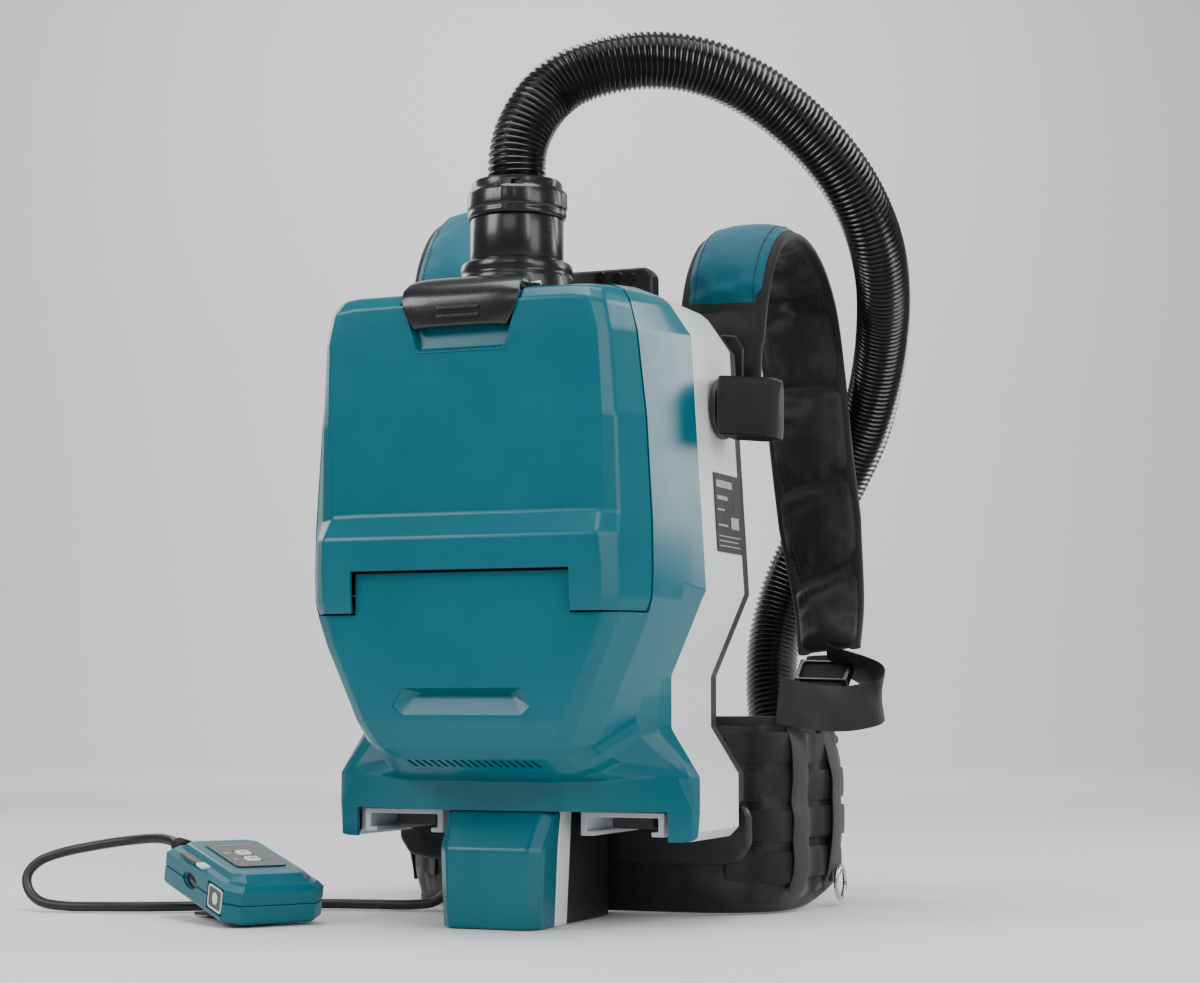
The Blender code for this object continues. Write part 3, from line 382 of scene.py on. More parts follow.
TEAL = (0.000, 0.118, 0.158)
MAT = {
    "teal": plastic("teal_abs", TEAL, 0.30, 3000, 0.000012, 0.05, coat=0.06, scuff=0.05, coat_rough=0.16),
    "teal_in": plastic("teal_abs_inner", (0.0, 0.13, 0.18), 0.45, 1800, 0.00002, 0.08),
    "white": plastic("white_abs", (0.74, 0.755, 0.77), 0.34, 3000, 0.000012, 0.02, coat=0.2, scuff=0.08),
    "black": plastic("black_abs_textured", (0.009, 0.009, 0.010), 0.42, 1500, 0.00004, 0.15),
    "gloss": plastic("black_abs_semi_gloss", (0.007, 0.007, 0.008), 0.26, 2400, 0.00001, 0.12, coat=0.2, scuff=0.04),
    "hose": plastic("hose_black", (0.006, 0.006, 0.007), 0.24, 1600, 0.00001, 0.12, coat=0.25, scuff=0.05),
    "rubber": plastic("black_rubber", (0.011, 0.011, 0.012), 0.62, 1300, 0.00004, 0.15, scuff=0.15),
    "cord": plastic("cord_jacket", (0.009, 0.009, 0.010), 0.40, 1300, 0.00003, 0.12, scuff=0.15),
    "dock": plastic("dock_grey", (0.50, 0.52, 0.54), 0.38, 1800, 0.00002, 0.05),
    "cloth": woven("harness_cloth", (0.0105, 0.0105, 0.0115), 0.0012, 0.00010, 0.72, 0.10),
    "mesh": woven("harness_lining", (0.0100, 0.0100, 0.0110), 0.0020, 0.00012, 0.46, 0.16),
    "tealcloth": woven("teal_cloth", (0.000, 0.105, 0.155), 0.0012, 0.00010, 0.60, 0.15, 0.12),
    "tape": woven("binding_tape", (0.0110, 0.0110, 0.0120), 0.0013, 0.00010, 0.70, 0.16, rib=True),
    "web": woven("webbing", (0.0085, 0.0085, 0.0092), 0.0014, 0.00014, 0.60, 0.14, rib=True),
    "thread": woven("thread", (0.0300, 0.0300, 0.0320), 0.0010, 0.00010, 0.70, 0.10),
    "label": plastic("label_film", (0.006, 0.006, 0.007), 0.34, 900, 0.00001, 0.1),
    "labelgrey": plastic("label_grey", (0.32, 0.33, 0.34), 0.35, 900, 0.00001, 0.05),
    "filter": woven("filter_media", (0.72, 0.72, 0.68), 0.0030, 0.0003, 0.95, 0.1, 0.05),
    "fleece": woven("bag_fleece", (0.56, 0.50, 0.38), 0.0020, 0.0003, 0.95, 0.2, 0.08),
    "card": plastic("card_flange", (0.42, 0.31, 0.19), 0.8, 700, 0.00005, 0.1),
    "steel": plastic("plain_steel", (0.62, 0.62, 0.64), 0.25, 1200, 0.00002, 0.04, metal=1.0),
    "motor": plastic("cast_aluminium", (0.52, 0.52, 0.53), 0.42, 900, 0.00005, 0.06, metal=1.0),
    "board": plastic("circuit_board", (0.015, 0.16, 0.07), 0.35, 600, 0.00004, 0.15),
    "foam": woven("exhaust_foam", (0.03, 0.03, 0.033), 0.0016, 0.0006, 0.98, 0.1, 0.3),
    "key": plastic("white_key", (0.76, 0.77, 0.78), 0.32, 1400, 0.00001, 0.02),
}
MAT["teal"].node_tree.nodes["Principled BSDF"].inputs["Specular IOR Level"].default_value = 0.32
SLOT_MAT = {"teal_shell": "teal", "white_band": "white", "black_shell": "black", "black_gloss": "gloss", "hose_plastic": "hose", "black_rubber": "rubber",
            "cord_rubber": "cord", "dock_grey": "dock", "harness_fabric": "cloth", "harness_webbing": "web", "label_film": "label", "filter_media": "filter",
            "bag_fleece": "fleece", "card": "card", "steel": "steel", "motor_metal": "motor", "board": "board", "foam": "foam", "white_key": "key"}

# ------------------------------------------------------------------ helpers


def new(name, verts, faces, mat, smooth=True, angle=None):
    me = bpy.data.meshes.new(name)
    bm = bmesh.new()
    vs = [bm.verts.new(v) for v in verts]
    for f in faces:
        ids = []
        for i in f:
            if i not in ids:
                ids.append(i)
        if len(ids) > 2:
            try:
                bm.faces.new([vs[i] for i in ids])
            except ValueError:
                pass
    bmesh.ops.remove_doubles(bm, verts=bm.verts[:], dist=1e-6)
    loose = [q for q in bm.verts if not q.link_faces]
    bmesh.ops.delete(bm, geom=loose, context="VERTS")
    bmesh.ops.recalc_face_normals(bm, faces=bm.faces[:])
    bm.to_mesh(me)
    bm.free()
    ob = link(bpy.data.objects.new(name, me))
    me.materials.append(MAT[mat] if isinstance(mat, str) else mat)
    if smooth:
        me.shade_smooth()
    if angle:
        me.set_sharp_from_angle(angle=math.radians(angle))
    return ob


def bake(ob):
    """Replace the object's mesh by its evaluated mesh and drop the modifiers."""
    dg = bpy.context.evaluated_depsgraph_get()
    dg.update()
    me = bpy.data.meshes.new_from_object(ob.evaluated_get(dg), preserve_all_data_layers=True, depsgraph=dg)
    ob.modifiers.clear()
    old = ob.data
    ob.data = me
    me.name = ob.name
    if old.users == 0:
        bpy.data.meshes.remove(old)
    return ob


def soft_edges(ob, width, seg=3, angle=28, weighted=True, clamp=True):
    m = ob.modifiers.new("edges", "BEVEL")
    m.width = width
    m.segments = seg
    m.limit_method = "ANGLE"
    m.angle_limit = math.radians(angle)
    m.use_clamp_overlap = clamp
    m.miter_outer = "MITER_ARC"
    ob.data.shade_smooth()
    if weighted:
        m = ob.modifiers.new("shade", "WEIGHTED_NORMAL")
        m.keep_sharp = True
        m.weight = 60
    return ob


def carve(ob, *cutters, op="DIFFERENCE"):
    for c in cutters:
        m = ob.modifiers.new("cut", "BOOLEAN")
        m.operation = op
        m.solver = "EXACT"
        m.object = c
    bake(ob)
    for c in cutters:
        bpy.data.objects.remove(c, do_unlink=True)
    return ob


def body(ob, node=None, ride=None, replaces=True, slot=None):
    """Ride on the body that holds the CAD node and stand for that node."""
    nodes = [node] if isinstance(node, str) else list(node or [])
    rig.ride(ob, ride or BODY[nodes[0]])
    if replaces and nodes:
        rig.replaces(ob, *nodes)
    s = slot or (SLOT[nodes[0]] if nodes else None)
    if s:
        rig.slot(ob, s)
    return ob


def dress(node, width=0.0012, seg=2, mat=None, angle=30, name=None):
    """A finely edged copy of a CAD solid whose shape is already right."""
    src = NODES[node]
    me = src.data.copy()
    me.transform(src.matrix_world)
    me.materials.clear()
    ob = link(bpy.data.objects.new(name or node + "_shown", me))
    bm = bmesh.new()
    bm.from_mesh(me)
    bmesh.ops.remove_doubles(bm, verts=bm.verts[:], dist=2e-6)
    bmesh.ops.dissolve_limit(bm, angle_limit=math.radians(1.0), verts=bm.verts[:], edges=bm.edges[:])
    bmesh.ops.recalc_face_normals(bm, faces=bm.faces[:])
    bm.to_mesh(me)
    bm.free()
    me.materials.append(MAT[mat or SLOT_MAT[SLOT[node]]])
    if width:
        soft_edges(ob, width, seg, angle)
    body(ob, node)
    return ob


def prism(name, loop, fn, t0, t1, mat, hole=None):
    n = len(loop)
    v = [fn(a, b, t) for t in (t0, t1) for a, b in loop]
    f = [(i, (i + 1) % n, n + (i + 1) % n, n + i) for i in range(n)]
    if hole is None:
        f += [tuple(range(n - 1, -1, -1)), tuple(range(n, 2 * n))]
    else:
        k = 2 * n
        v += [fn(a, b, t) for t in (t0, t1) for a, b in hole]
        for i in range(n):
            j = (i + 1) % n
            f += [(k + i, k + n + i, k + n + j, k + j), (i, k + i, k + j, j), (n + i, n + j, k + n + j, k + n + i)]
    return new(name, v, f, mat, smooth=False)


def lathe(name, profile, centre, mat, n=96, axis="Z", closed=True, rfun=None, angle=32):
    m = len(profile)
    v, f = [], []
    for i in range(n):
        a = 2 * math.pi * i / n
        for j, (r, t) in enumerate(profile):
            rr = rfun(a, j, r) if rfun else r
            p, q = rr * math.cos(a), rr * math.sin(a)
            v.append({"Z": (centre[0] + p, centre[1] + q, centre[2] + t),
                      "X": (centre[0] + t, centre[1] + p, centre[2] + q),
                      "Y": (centre[0] + p, centre[1] + t, centre[2] + q)}[axis])
    for i in range(n):
        k = (i + 1) % n
        for j in range(m if closed else m - 1):
            l = (j + 1) % m
            f.append((i * m + j, k * m + j, k * m + l, i * m + l))
    return new(name, v, f, mat, angle=angle)


def catmull(pts, per=6):
    P = [Vector(p) for p in pts]
    P = [P[0] * 2 - P[1]] + P + [P[-1] * 2 - P[-2]]
    out = []
    for i in range(1, len(P) - 2):
        p0, p1, p2, p3 = P[i - 1], P[i], P[i + 1], P[i + 2]
        t0 = 0.0
        t1 = t0 + (p1 - p0).length ** 0.5
        t2 = t1 + (p2 - p1).length ** 0.5
        t3 = t2 + (p3 - p2).length ** 0.5
        for k in range(per):
            t = t1 + (t2 - t1) * k / per
            a1 = p0 * ((t1 - t) / (t1 - t0)) + p1 * ((t - t0) / (t1 - t0))
            a2 = p1 * ((t2 - t) / (t2 - t1)) + p2 * ((t - t1) / (t2 - t1))
            a3 = p2 * ((t3 - t) / (t3 - t2)) + p3 * ((t - t2) / (t3 - t2))
            b1 = a1 * ((t2 - t) / (t2 - t0)) + a2 * ((t - t0) / (t2 - t0))
            b2 = a2 * ((t3 - t) / (t3 - t1)) + a3 * ((t - t1) / (t3 - t1))
            out.append(b1 * ((t2 - t) / (t2 - t1)) + b2 * ((t - t1) / (t2 - t1)))
    out.append(P[-2])
    return out


def resample(pts, step=None, n=None):
    acc = [0.0]
    for a, b in zip(pts, pts[1:]):
        acc.append(acc[-1] + (b - a).length)
    if n is None:
        n = max(2, round(acc[-1] / step))
    out, k = [], 0
    for i in range(n + 1):
        s = acc[-1] * i / n
        while k < len(pts) - 2 and acc[k + 1] < s:
            k += 1
        t = (s - acc[k]) / max(1e-9, acc[k + 1] - acc[k])
        out.append(pts[k].lerp(pts[k + 1], min(1.0, t)))
    return out


def length(pts):
    return sum((b - a).length for a, b in zip(pts, pts[1:]))


def frames(pts, up=Vector((0, 0, 1))):
    """Rotation-minimising frames along a polyline."""
    T = []
    n = len(pts)
    for i in range(n):
        T.append((pts[min(i + 1, n - 1)] - pts[max(i - 1, 0)]).normalized())
    u = up - T[0] * up.dot(T[0])
    if u.length < 1e-4:
        u = Vector((1, 0, 0)) - T[0] * T[0].x
    u.normalize()
    out = []
    for i in range(n):
        if i:
            ax = T[i - 1].cross(T[i])
            if ax.length > 1e-9:
                u = Matrix.Rotation(T[i - 1].angle(T[i]), 3, ax.normalized()) @ u
            u = (u - T[i] * u.dot(T[i])).normalized()
        out.append((pts[i], T[i], u, T[i].cross(u)))
    return out


def round_tube(name, pts, radius, mat, k=16, cap=True, start_up=Vector((1, 0, 0))):
    fr = frames(pts, start_up)
    v, f = [], []
    n = len(fr)
    for i, (p, t, u, w_) in enumerate(fr):
        r = radius(i / (n - 1)) if callable(radius) else radius
        for j in range(k):
            a = 2 * math.pi * j / k
            v.append(tuple(p + u * (r * math.cos(a)) + w_ * (r * math.sin(a))))
    for i in range(n - 1):
        for j in range(k):
            l = (j + 1) % k
            f.append((i * k + j, i * k + l, (i + 1) * k + l, (i + 1) * k + j))
    if cap:
        f.append(tuple(range(k - 1, -1, -1)))
        f.append(tuple((n - 1) * k + j for j in range(k)))
    return new(name, v, f, mat, angle=50)


def cage(name, rows, cells, mat, wall=0.0026, edge=0.0022, seg=3, angle=14):
    """Half surface mirrored about X=0, thickened inwards, with rounded facet edges."""
    verts, idx, faces = [], {}, []

    def vid(p):
        k = tuple(round(c, 6) for c in p)
        if k not in idx:
            idx[k] = len(verts)
            verts.append(k)
        return idx[k]

    for i in range(len(rows) - 1):
        for j in range(len(rows[i]) - 1):
            if not cells(i, j):
                continue
            q = [rows[i][j], rows[i][j + 1], rows[i + 1][j + 1], rows[i + 1][j]]
            for s in (1, -1):
                ids = []
                for x, y, z in q:
                    k = vid((s * x, y, z))
                    if k not in ids:
                        ids.append(k)
                if len(ids) > 2:
                    faces.append(ids if s == 1 else ids[::-1])
    ob = new(name, verts, faces, mat)
    me = ob.data
    front = min(me.polygons, key=lambda g: g.center.y)
    if front.normal.y > 0:
        me.flip_normals()
    m = ob.modifiers.new("edges", "BEVEL")
    m.width = edge
    m.segments = seg
    m.limit_method = "ANGLE"
    m.angle_limit = math.radians(angle)
    m.miter_outer = "MITER_ARC"
    m = ob.modifiers.new("wall", "SOLIDIFY")
    m.thickness = wall
    m.offset = -1.0
    m.use_even_offset = True
    bake(ob)
    m = ob.modifiers.new("shade", "WEIGHTED_NORMAL")
    m.weight = 70
    ob.data.shade_smooth()
    return ob


# -------------------------------------------------------------- front housing
Y0 = -0.0002
SY = -0.0670
rows = [
    [(0, -0.0340, 0.0645), (0.053, -0.0318, 0.0645), (0.0913, -0.0238, 0.0645), (0.1295, -0.0125, 0.0645), (0.1400, -0.0085, 0.0645), (0.1465, -0.0050, 0.0655), (0.1478, -0.0025, 0.0668), (0.1488, Y0, 0.0680)],
    [(0, -0.0345, 0.0868), (0.053, -0.0323, 0.0868), (0.0913, -0.0243, 0.0868), (0.1295, -0.0130, 0.0868), (0.1400, -0.0090, 0.0868), (0.1470, -0.0055, 0.0868), (0.1490, -0.0025, 0.0868), (0.1505, Y0, 0.0868)],
    [(0, -0.0350, 0.1090), (0.053, -0.0330, 0.1090), (0.0850, -0.0270, 0.1100), (0.1050, -0.0210, 0.1120), (0.1200, -0.0150, 0.1130), (0.1360, -0.0090, 0.1130), (0.1440, -0.0050, 0.1130), (0.1505, Y0, 0.1130)],
    [(0, -0.0480, 0.1120), (0.053, -0.0475, 0.1120), (0.0720, -0.0440, 0.1130), (0.0860, -0.0360, 0.1170), (0.0980, -0.0260, 0.1240), (0.1345, -0.0082, 0.1190), (0.1400, -0.0045, 0.1240), (0.1445, Y0, 0.1226)],
    [(0, -0.0640, 0.1145), (0.053, -0.0635, 0.1145), (0.0690, -0.0600, 0.1155), (0.0820, -0.0510, 0.1200), (0.0940, -0.0400, 0.1270), (0.1100, -0.0200, 0.1427), (0.1215, -0.0105, 0.1460), (0.1290, Y0, 0.1470)],
    [(0, -0.0720, 0.1175), (0.053, -0.0715, 0.1175), (0.0640, -0.0690, 0.1185), (0.0760, -0.0610, 0.1215), (0.0900, -0.0480, 0.1300), (0.1120, -0.0200, 0.1480), (0.1215, -0.0100, 0.1500), (0.1280, Y0, 0.1500)],
    [(0, -0.0860, 0.1268), (0.053, -0.0860, 0.1268), (0.0620, -0.0840, 0.1272), (0.0730, -0.0775, 0.1285), (0.0890, -0.0600, 0.1340), (0.1110, -0.0270, 0.1540), (0.1210, -0.0120, 0.1550), (0.1280, Y0, 0.1560)],
    [(0, -0.0925, 0.1345), (0.055, -0.0925, 0.1345), (0.0690, -0.0905, 0.1345), (0.0790, -0.0830, 0.1355), (0.0945, -0.0640, 0.1390), (0.1120, -0.0300, 0.1600), (0.1210, -0.0130, 0.1610), (0.1280, Y0, 0.1620)],
    [(0, -0.0985, 0.1540), (0.058, -0.0985, 0.1540), (0.0800, -0.0975, 0.1540), (0.0895, -0.0905, 0.1540), (0.1025, -0.0665, 0.1560), (0.1175, -0.0300, 0.1720), (0.1235, -0.0130, 0.1740), (0.1280, Y0, 0.1750)],
    [(0, -0.0998, 0.1880), (0.065, -0.0998, 0.1880), (0.0950, -0.0992, 0.1880), (0.1040, -0.0925, 0.1880), (0.1165, SY, 0.1880), (0.1235, -0.0300, 0.1880), (0.1260, -0.0130, 0.1880), (0.1280, Y0, 0.1880)],
    [(0, -0.1000, 0.2100), (0.075, -0.1000, 0.2100), (0.1045, -0.0995, 0.2100), (0.1140, -0.0930, 0.2100), (0.1268, SY, 0.2100), (0.1335, -0.0300, 0.2100), (0.1358, -0.0130, 0.2099), (0.1376, Y0, 0.2099)],
    [(0, -0.1000, 0.2330), (0.0868, -0.1000, 0.2330), (0.1115, -0.0995, 0.2330), (0.1220, -0.0930, 0.2330), (0.1355, SY, 0.2330), (0.1430, -0.0300, 0.2330), (0.1455, -0.0130, 0.2330), (0.1476, Y0, 0.2330)],
]
N_LOW = len(rows)
ring = [((0.1385, 0.2440), (0.1470, 0.2440), (0.1497, 0.2440), (0.1520, 0.2440)), ((0.1393, 0.2640), (0.1500, 0.2560), (0.1530, 0.2530), (0.1560, 0.2515)),
        ((0.1390, 0.3000), (0.1485, 0.3000), (0.1508, 0.3000), (0.1531, 0.3000)), ((0.1345, 0.3770), (0.1435, 0.3800), (0.1459, 0.3820), (0.1481, 0.3840)),
        ((0.1272, 0.4408), (0.1385, 0.4425), (0.1419, 0.4437), (0.1447, 0.4447)), ((0.1212, 0.4640), (0.1265, 0.4665), (0.1271, 0.4685), (0.1275, 0.4702)),
        ((0.1165, 0.4720), (0.1195, 0.4738), (0.1203, 0.4750), (0.1210, 0.4758)), ((0.1080, 0.4762), (0.1060, 0.4805), (0.1040, 0.4828), (0.1010, 0.4843)),
        ((0.0600, 0.4765), (0.0600, 0.4808), (0.0600, 0.4830), (0.0600, 0.4845)), ((0.0000, 0.4765), (0.0000, 0.4808), (0.0000, 0.4830), (0.0000, 0.4845))]
for k, cols in enumerate(ring):
    base = [(0, -0.1000, 0.2638), (0.0868, -0.1000, 0.2638)] if k == 0 else [(0, -0.1, 0.2638)] * 2
    ys = (SY, -0.0300, -0.0130, Y0)
    rows.append(base + [(0.11, -0.1, 0.24)] * 2 + [(x, y, z) for (x, z), y in zip(cols, ys)])


def housing_cells(i, j):
    if i == 0:
        return j >= 3
    if i < N_LOW - 1:
        return True
    if i == N_LOW - 1:
        return j == 0 or j >= 4
    return j >= 4


housing = cage("front_shell", rows, housing_cells, "teal", wall=0.0026, edge=0.0016, seg=3, angle=9)
# finger scoop shape below the notch, with an upward-facing floor; it is built and removed again unused
scoop = new("scoop_cut", [(-0.0476, -0.1030, 0.1800), (0.0476, -0.1030, 0.1800), (0.0540, -0.1030, 0.1660), (0.0480, -0.1030, 0.1580), (-0.0480, -0.1030, 0.1580), (-0.0540, -0.1030, 0.1660),
                          (-0.0400, -0.0940, 0.1790), (0.0400, -0.0940, 0.1790), (0.0450, -0.0955, 0.1680), (0.0420, -0.0985, 0.1600), (-0.0420, -0.0985, 0.1600), (-0.0450, -0.0955, 0.1680)],
            [(0, 1, 2, 3, 4, 5), (6, 11, 10, 9, 8, 7), (0, 6, 7, 1), (1, 7, 8, 2), (2, 8, 9, 3), (3, 9, 10, 4), (4, 10, 11, 5), (5, 11, 6, 0)], "teal", smooth=False)
bpy.data.objects.remove(scoop, do_unlink=True)
cuts = []
for i in range(17):
    x = -0.0500 + i * 0.00625
    c = prism("vent_cut_%02d" % i, [(x - 0.0012, 0.0), (x + 0.0012, 0.0), (x + 0.0052, 1.0), (x + 0.0028, 1.0)],
              lambda a, b, t: (a, -0.0870 + t + 0.0 * b, 0.1250 - 0.0070 * b) if t < 0.001 else (a, -0.0870 + t, 0.1330 - 0.0070 * b), 0.0, 0.030, "teal")
    cuts.append(c)
for c in cuts:
    c.data.update()
vents = cuts[0]
bm = bmesh.new()
for c in cuts:
    bm.from_mesh(c.data)
bm.to_mesh(vents.data)
bm.free()
for c in cuts[1:]:
    bpy.data.objects.remove(c, do_unlink=True)
port_cut = lathe("port_cut", [(0.0262, 0.44), (0.0262, 0.51)], (0, 0, 0), "teal", 64, closed=False)
bm = bmesh.new()
bm.from_mesh(port_cut.data)
bmesh.ops.holes_fill(bm, edges=bm.edges[:], sides=0)
bmesh.ops.recalc_face_normals(bm, faces=bm.faces[:])
bm.to_mesh(port_cut.data)
bm.free()
carve(housing, vents, port_cut)
housing.data.shade_smooth()
housing.data.set_sharp_from_angle(angle=math.radians(26))
m = housing.modifiers.new("shade", "WEIGHTED_NORMAL")
m.weight = 70
m.keep_sharp = True
body(housing, "front_housing")

# ----------------------------------------------------------------------- lid
lid_rows = [
    [(0, -0.0690, 0.4752), (0.045, -0.0690, 0.4752), (0.088, -0.0690, 0.4752), (0.1040, -0.0690, 0.4750), (0.1100, -0.0690, 0.4743), (0.1150, -0.0680, 0.4722)],
    [(0, -0.0860, 0.4750), (0.045, -0.0860, 0.4750), (0.088, -0.0860, 0.4748), (0.1000, -0.0860, 0.4742), (0.1085, -0.0820, 0.4728), (0.1175, -0.0680, 0.4690)],
    [(0, -0.0975, 0.4725), (0.045, -0.0975, 0.4725), (0.088, -0.0975, 0.4722), (0.0990, -0.0970, 0.4710), (0.1090, -0.0900, 0.4690), (0.1200, -0.0680, 0.4640)],
    [(0, -0.1040, 0.4640), (0.044, -0.1040, 0.4640), (0.088, -0.1040, 0.4636), (0.1030, -0.1036, 0.4615), (0.1125, -0.0950, 0.4590), (0.1218, -0.0680, 0.4590)],
    [(0, -0.1036, 0.4400), (0.036, -0.1036, 0.4400), (0.088, -0.1036, 0.4400), (0.1085, -0.1034, 0.4400), (0.1160, -0.0950, 0.4400), (0.1262, -0.0680, 0.4408)],
    [(0, -0.1004, 0.3770), (0.036, -0.1004, 0.3770), (0.088, -0.1004, 0.3770), (0.1105, -0.1002, 0.3770), (0.1195, -0.0920, 0.3770), (0.1335, -0.0680, 0.3770)],
    [(0, -0.0962, 0.3075), (0.036, -0.0962, 0.3075), (0.088, -0.0962, 0.3075), (0.1085, -0.0962, 0.3070), (0.1210, -0.0895, 0.3060), (0.1377, -0.0680, 0.3010)],
    [(0, -0.1080, 0.2895), (0.036, -0.1080, 0.2895), (0.088, -0.1080, 0.2895), (0.1110, -0.1078, 0.2895), (0.1225, -0.0945, 0.2890), (0.1380, -0.0680, 0.2860)],
    [(0, -0.1066, 0.2655), (0.036, -0.1066, 0.2655), (0.0885, -0.1066, 0.2655), (0.1125, -0.1060, 0.2655), (0.1230, -0.0935, 0.2650), (0.1382, -0.0680, 0.2640)],
    [(0, -0.1050, 0.2430), (0.036, -0.1050, 0.2430), (0.0885, -0.1050, 0.2430), (0.1120, -0.1046, 0.2430), (0.1230, -0.0930, 0.2435), (0.1374, -0.0680, 0.2440)],
    [(0, -0.1035, 0.2343), (0.036, -0.1035, 0.2343), (0.0885, -0.1035, 0.2343), (0.1110, -0.1030, 0.2343), (0.1205, -0.0925, 0.2343), (0.1338, -0.0680, 0.2346)],
]
lid = cage("lid_shell", lid_rows, lambda i, j: not (i >= 8 and j < 2), "teal", wall=0.0026, edge=0.0022, seg=4, angle=8)


def wedge(name, front_y, mat, rim=0.0):
    """Pocket behind and below the latch: open in front, sloping floor at its bottom."""
    o = [(-0.0490, 0.4800), (-0.0490, 0.4690), (-0.0375, 0.4300), (-0.0345, 0.4268), (0.0345, 0.4268), (0.0375, 0.4300), (0.0490, 0.4690), (0.0490, 0.4800)]
    q = [(-0.0470, 0.4800), (-0.0470, 0.4690), (-0.0360, 0.4330), (-0.0335, 0.4300), (0.0335, 0.4300), (0.0360, 0.4330), (0.0470, 0.4690), (0.0470, 0.4800)]
    by = [-0.0900, -0.0900, -0.0955, -0.0985, -0.0985, -0.0955, -0.0900, -0.0900]
    v = [(x, front_y, z) for x, z in o] + [(x, y, z) for (x, z), y in zip(q, by)]
    n = 8
    f = [tuple(range(n)), tuple(n + i for i in reversed(range(n)))] + [(i, n + i, n + (i + 1) % n, (i + 1) % n) for i in range(n)]
    return new(name, v, f, mat, smooth=False)


pc = wedge("pocket_cut", -0.115, "teal")
top_cut = prism("pocket_top_cut", [(-0.0490, 0.4640), (0.0490, 0.4640), (0.0490, 0.4850), (-0.0490, 0.4850)], lambda a, b, t: (a, t, b), -0.1150, -0.0705, "teal")
carve(lid, pc, top_cut)
lid.data.shade_smooth()
lid.data.set_sharp_from_angle(angle=math.radians(26))
m = lid.modifiers.new("shade", "WEIGHTED_NORMAL")
m.weight = 70
m.keep_sharp = True
body(lid, "lid")
# pocket liner
o = [(-0.0490, -0.1040, 0.4700), (-0.0375, -0.1034, 0.4300), (-0.0345, -0.1032, 0.4268), (0.0345, -0.1032, 0.4268), (0.0375, -0.1034, 0.4300), (0.0490, -0.1040, 0.4700)]
q = [(-0.0470, -0.0900, 0.4700), (-0.0360, -0.0955, 0.4330), (-0.0335, -0.0985, 0.4300), (0.0335, -0.0985, 0.4300), (0.0360, -0.0955, 0.4330), (0.0470, -0.0900, 0.4700)]
v = o + q + [(-0.0470, -0.0712, 0.4712), (0.0470, -0.0712, 0.4712), (-0.0490, -0.0712, 0.4742), (0.0490, -0.0712, 0.4742)]
f = [(i, i + 1, 6 + i + 1, 6 + i) for i in range(5)] + [(6, 7, 8, 9, 10, 11), (6, 11, 13, 12)]
liner = new("lid_pocket", v, f, "teal", smooth=False)
s = liner.modifiers.new("wall", "SOLIDIFY")
s.thickness = 0.0012
s.offset = 1.0
bake(liner)
soft_edges(liner, 0.0006, 2)
body(liner, "lid", replaces=False)

# latch
prof = [(-0.0702, 0.4774, 0.0440), (-0.0706, 0.4850, 0.0436), (-0.0730, 0.4868, 0.0438), (-0.0760, 0.4874, 0.0442), (-0.0840, 0.4864, 0.0455), (-0.0950, 0.4822, 0.0470), (-0.1030, 0.4762, 0.0480), (-0.1072, 0.4690, 0.0484),
        (-0.1082, 0.4620, 0.0466), (-0.1078, 0.4540, 0.0430), (-0.1068, 0.4470, 0.0384), (-0.1040, 0.4454, 0.0370), (-0.0990, 0.4460, 0.0372), (-0.0965, 0.4560, 0.0408), (-0.0950, 0.4700, 0.0440), (-0.0800, 0.4766, 0.0436)]
v, f = [], []
NX = 12
for y, z, hw in prof:
    for i in range(NX + 1):
        s = -1 + 2 * i / NX
        e = abs(s) ** 6
        v.append((hw * s, y + 0.0022 * e * (1 if z < 0.475 else 0.3), z - 0.0012 * e))
k = NX + 1
P = len(prof)
for a in range(P):
    b = (a + 1) % P
    for i in range(NX):
        f.append((a * k + i, a * k + i + 1, b * k + i + 1, b * k + i))
f.append(tuple(a * k for a in range(P)))
f.append(tuple(a * k + NX for a in reversed(range(P))))
latch = new("latch_cap", v, f, "gloss")
soft_edges(latch, 0.0012, 3, 35)
body(latch, "lid_latch")
for i, z in enumerate((0.4592, 0.4532)):
    rib = prism("latch_rib_%d" % (i + 1), [(-0.0175, z - 0.0012), (0.0175, z - 0.0012), (0.0175, z + 0.0012), (-0.0175, z + 0.0012)],
                lambda a, b, t: (a, t, b), -0.1098, -0.1065, "gloss")
    soft_edges(rib, 0.0008, 3)
    body(rib, "lid_latch", replaces=False)

# fixed saddle between the latch and the hose port
sad = [(-0.0420, -0.0664), (0.0420, -0.0664), (0.0405, -0.0345)]
for k in range(13):
    a = math.radians(-44 - 92 * k / 12)
    sad.append((0.0456 * math.cos(a), 0.0456 * math.sin(a)))
sad.append((-0.0405, -0.0345))


def saddle_z(a, b, t):
    low = 0.4768 + (b + 0.067) * 0.116
    return (a, b, low if t == 0 else 0.4856 - 0.0012 * (abs(a) / 0.042) ** 4)


saddle = prism("port_saddle", sad, saddle_z, 0, 1, "gloss")
soft_edges(saddle, 0.0008, 3, 30)
body(saddle, "inlet_port", replaces=False)

# ---------------------------------------------------------- plain rigid pieces
dress("mid_frame", 0.0012, 3)
dress("rear_housing", 0.0035, 4, angle=10)
dress("lower_back_cover", 0.0040, 4)
dress("foot_middle", 0.0010, 3)
dress("foot_rear", 0.0015, 3)
dress("carry_handle", 0.0030, 4)
dress("hose_holder_plate", 0.0012, 3)
dress("back_frame", 0.0015, 3)
dress("partition", 0.0005, 2)
dress("hepa_filter", 0.0)
dress("dust_bag_flange", 0.0004, 2)
dress("motor_housing", 0.0010, 2)
dress("motor", 0.0008, 2)
dress("motor_mount", 0.0006, 2)
dress("fan_impeller", 0.0003, 2)
dress("control_board", 0.0002, 2)
dress("exhaust_foam", 0.0010, 2)
dress("lid_seal", 0.0008, 2)
dress("latch_pin", 0.0003, 2)
dress("lid_hinge_pin_left", 0.0003, 2)
